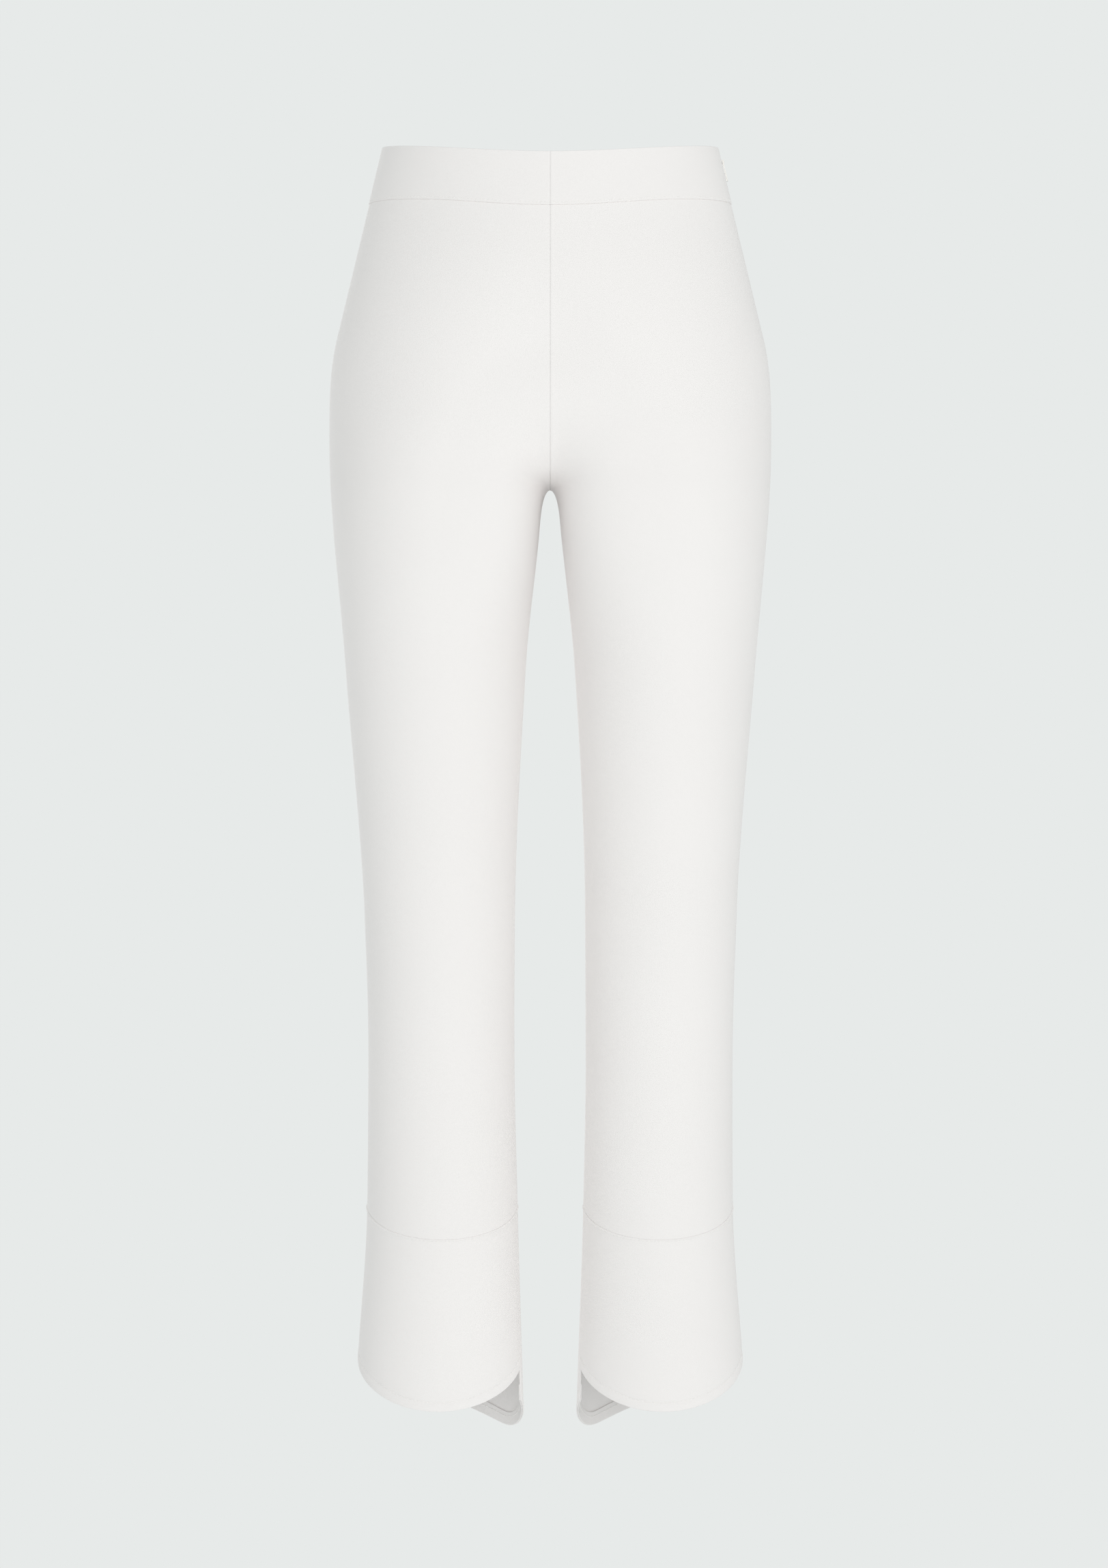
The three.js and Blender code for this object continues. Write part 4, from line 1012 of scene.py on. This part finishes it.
def in_zip(out, across, down):
    """A point in the zip's own frame: mm outwards, mm towards the back and mm down the seam."""
    out, across, down = np.broadcast_arrays(*[np.asarray(v, float) for v in (out, across, down)])
    return SEAM_TOP + out[..., None] * OUT + across[..., None] * ACROSS - down[..., None] * UP


def coil_of_loops(name, face):
    """One half of the zip: a nylon filament wound along the tape's edge, with a flattened head on each turn."""
    pitch, filament = 1.3, 0.3
    low, high = ZIP_TOP + 0.4, CHAIN_END - 0.4
    turns = (high - low) / pitch
    t = np.arange(0, turns, 1 / 14)
    phase = 2 * math.pi * t + (math.pi if face > 0 else 0)
    middle = (0.98 + 3.0) / 2
    half = (3.0 - 0.98) / 2 - filament
    squash = np.sign(np.cos(phase)) * np.abs(np.cos(phase)) ** 0.8
    path = in_zip(-(COIL_DEPTH + COIL_THICK / 2) + (COIL_THICK / 2 - filament) * np.sin(phase),
                  face * (middle - half * squash), low + t * pitch)
    step = np.gradient(path, axis=0)
    step /= np.linalg.norm(step, axis=1, keepdims=True)
    side_way = np.cross(step, -UP)
    side_way /= np.linalg.norm(side_way, axis=1, keepdims=True)
    other = np.cross(step, side_way)
    around = np.arange(6) * math.pi / 3
    swell = filament * (1 + 0.25 * np.maximum(0, squash) ** 3)
    ring = path[:, None] + swell[:, None, None] * (np.cos(around)[None, :, None] * side_way[:, None]
                                                   + np.sin(around)[None, :, None] * other[:, None])
    count = len(t)
    quads = tube_faces(count, 6)
    ends = [(5, 4, 3, 2), (5, 2, 1, 0)]
    last = (count - 1) * 6
    ends += [(last, last + 1, last + 2, last + 3), (last, last + 3, last + 4, last + 5)]
    return link(name, ring.reshape(-1, 3), np.concatenate([quads, np.array(ends)]))


for face, face_name in FACES:
    tape = Patch(face, 1, straight_rows(-1, ZIP_END - TAPE_TAIL, 3), from_side(face, 1.05),
                 from_side(face, 1.05 + TAPE_WIDTH), TAPE_DEPTH, TAPE_DEPTH + TAPE, step=2.2, dip=0,
                 ridge=lambda *e: (-0.1 * bump(e[2], 4.6, 0.5) - 0.08 * bump(e[3], 0.8, 0.5)
                                   + 0.4 * bump(e[0], -BAND_END - 1, 3.5)))
    coil = coil_of_loops(f"zip_filament_{face_name}", face)
    dress(coil, "zip_nylon", f"zip_coil_{face_name}")
    piece = dress(tape.build(f"cloth_zip_tape_{face_name}"), "zip_tape", f"zip_tape_{face_name}")
    rail = tape.line(4.6, "start")
    inside = (rail[0] - rail[1] * (TAPE + 0.02), -rail[1])
    sewing = stitches(f"stitching_zip_{face_name}", [inside])
    dress(sewing, "thread", slot="zip_tape")
    declare(tape)

# ---------------------------------------------------------------- hanger loops and label


def bent_ribbon(name, centre, normal_ways, width_way, width, thick):
    """A ribbon with rounded edges along a line of points."""
    section = []
    for a in np.linspace(0, 2 * math.pi, 17)[:-1]:
        c, s = math.cos(a), math.sin(a)
        section.append((np.sign(c) * abs(c) ** 0.25 * width / 2, np.sign(s) * abs(s) ** 0.7 * thick / 2))
    section = np.array(section)
    ring = (centre[:, None] + section[None, :, 0, None] * width_way[None, None]
            + section[None, :, 1, None] * normal_ways[:, None])
    count, n = len(centre), len(section)
    quads = tube_faces(count, n)
    run = np.concatenate([[0], np.cumsum(np.linalg.norm(np.diff(centre, axis=0), axis=1))])
    uv = np.stack([np.broadcast_to(section[None, :, 0], (count, n)),
                   np.broadcast_to(run[:, None], (count, n))], -1) * MM
    verts = ring.reshape(-1, 3)
    caps = []
    for start, flip in ((0, 1), ((count - 1) * n, -1)):
        fan = [(start + j, start + j + 1, start + n - 2 - j, start + n - 1 - j) for j in range(n // 2 - 1)]
        caps += [f[::flip] for f in fan]
    faces = np.concatenate([quads, np.array(caps)])
    return link(name, verts, faces, uv.reshape(-1, 2))


def hanger_loop(side, side_name):
    low, high = [np.array(v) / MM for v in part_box(f"hanger_loop_{side_name}")]
    cx, cy = (low[0] + high[0]) / 2, (low[1] + high[1]) / 2
    top, bottom = high[2], low[2]
    width = high[1] - low[1] - 0.4
    half = (high[0] - low[0]) / 2 - 0.35

    def spread(z):
        return lerp(0.45, half, ((top - z) / (top - bottom - half)) ** 1.3)

    points = [(-spread(z), z) for z in np.linspace(top, bottom + half, 26)]
    points += [(-half * math.cos(a), bottom + half - (half - 0.1) * math.sin(a))
               for a in np.linspace(0, math.pi, 17)[1:-1]]
    points += [(spread(z), z) for z in np.linspace(bottom + half, top, 26)]
    points = np.array(points)
    centre = np.stack([cx + points[:, 0], cy + 0.25 * np.sin(points[:, 1] / 14), points[:, 1]], -1)
    step = np.gradient(centre, axis=0)
    step /= np.linalg.norm(step, axis=1, keepdims=True)
    width_way = np.array([0, 1.0, 0])
    normal = np.cross(step, width_way)
    normal /= np.linalg.norm(normal, axis=1, keepdims=True)
    loop = bent_ribbon(f"ribbon_loop_{side_name}", centre, normal, width_way, width, 0.55)
    dress(loop, "ribbon", f"hanger_loop_{side_name}")


for side, side_name in SIDES:
    hanger_loop(side, side_name)

LABEL_START, LABEL_SINK = 4.0, 2.5
label_rows = [(lambda a, d=d: -LABEL_DROP - d + 0 * a, d, LABEL_HEIGHT - d)
              for d in spaced(LABEL_HEIGHT, 2, (3, 3.4, 3.8))]
label = Patch(1, -1, label_rows, from_side(1, LABEL_START), from_side(1, LABEL_START + LABEL_WIDTH),
              LABEL_SINK, LABEL_SINK + 0.45, step=2, dip=0,
              ridge=lambda *e: 0.5 * bump(e[3], 0, 9) * smoothstep((e[0] - 6) / 30) - 0.1 * bump(e[0], 1.2, 1.0))
piece = dress(label.build("cloth_care_label"), "label", "care_label")
rail = label.line(3.4, "top")
sewing = stitches("stitching_label", [(rail[0] - rail[1] * 0.47, -rail[1])], radius=0.14, length=1.8)
dress(sewing, "thread", slot="label")
declare(label)

# ---------------------------------------------------------------- fastenings kept from the CAD model

for node, look in (("zip_slider", "zip_enamel"), ("zip_pull", "zip_enamel"), ("zip_bottom_stop", "zip_nylon"),
                   ("waist_hook", "hook_steel"), ("waist_bar", "hook_steel")):
    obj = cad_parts[node]
    obj.data.materials.clear()
    obj.data.materials.append(LOOKS[look])
    soften = obj.modifiers.new("soften", "BEVEL")
    soften.width = 0.00012
    soften.segments = 2
    soften.limit_method = "ANGLE"
    soften.angle_limit = math.radians(40)
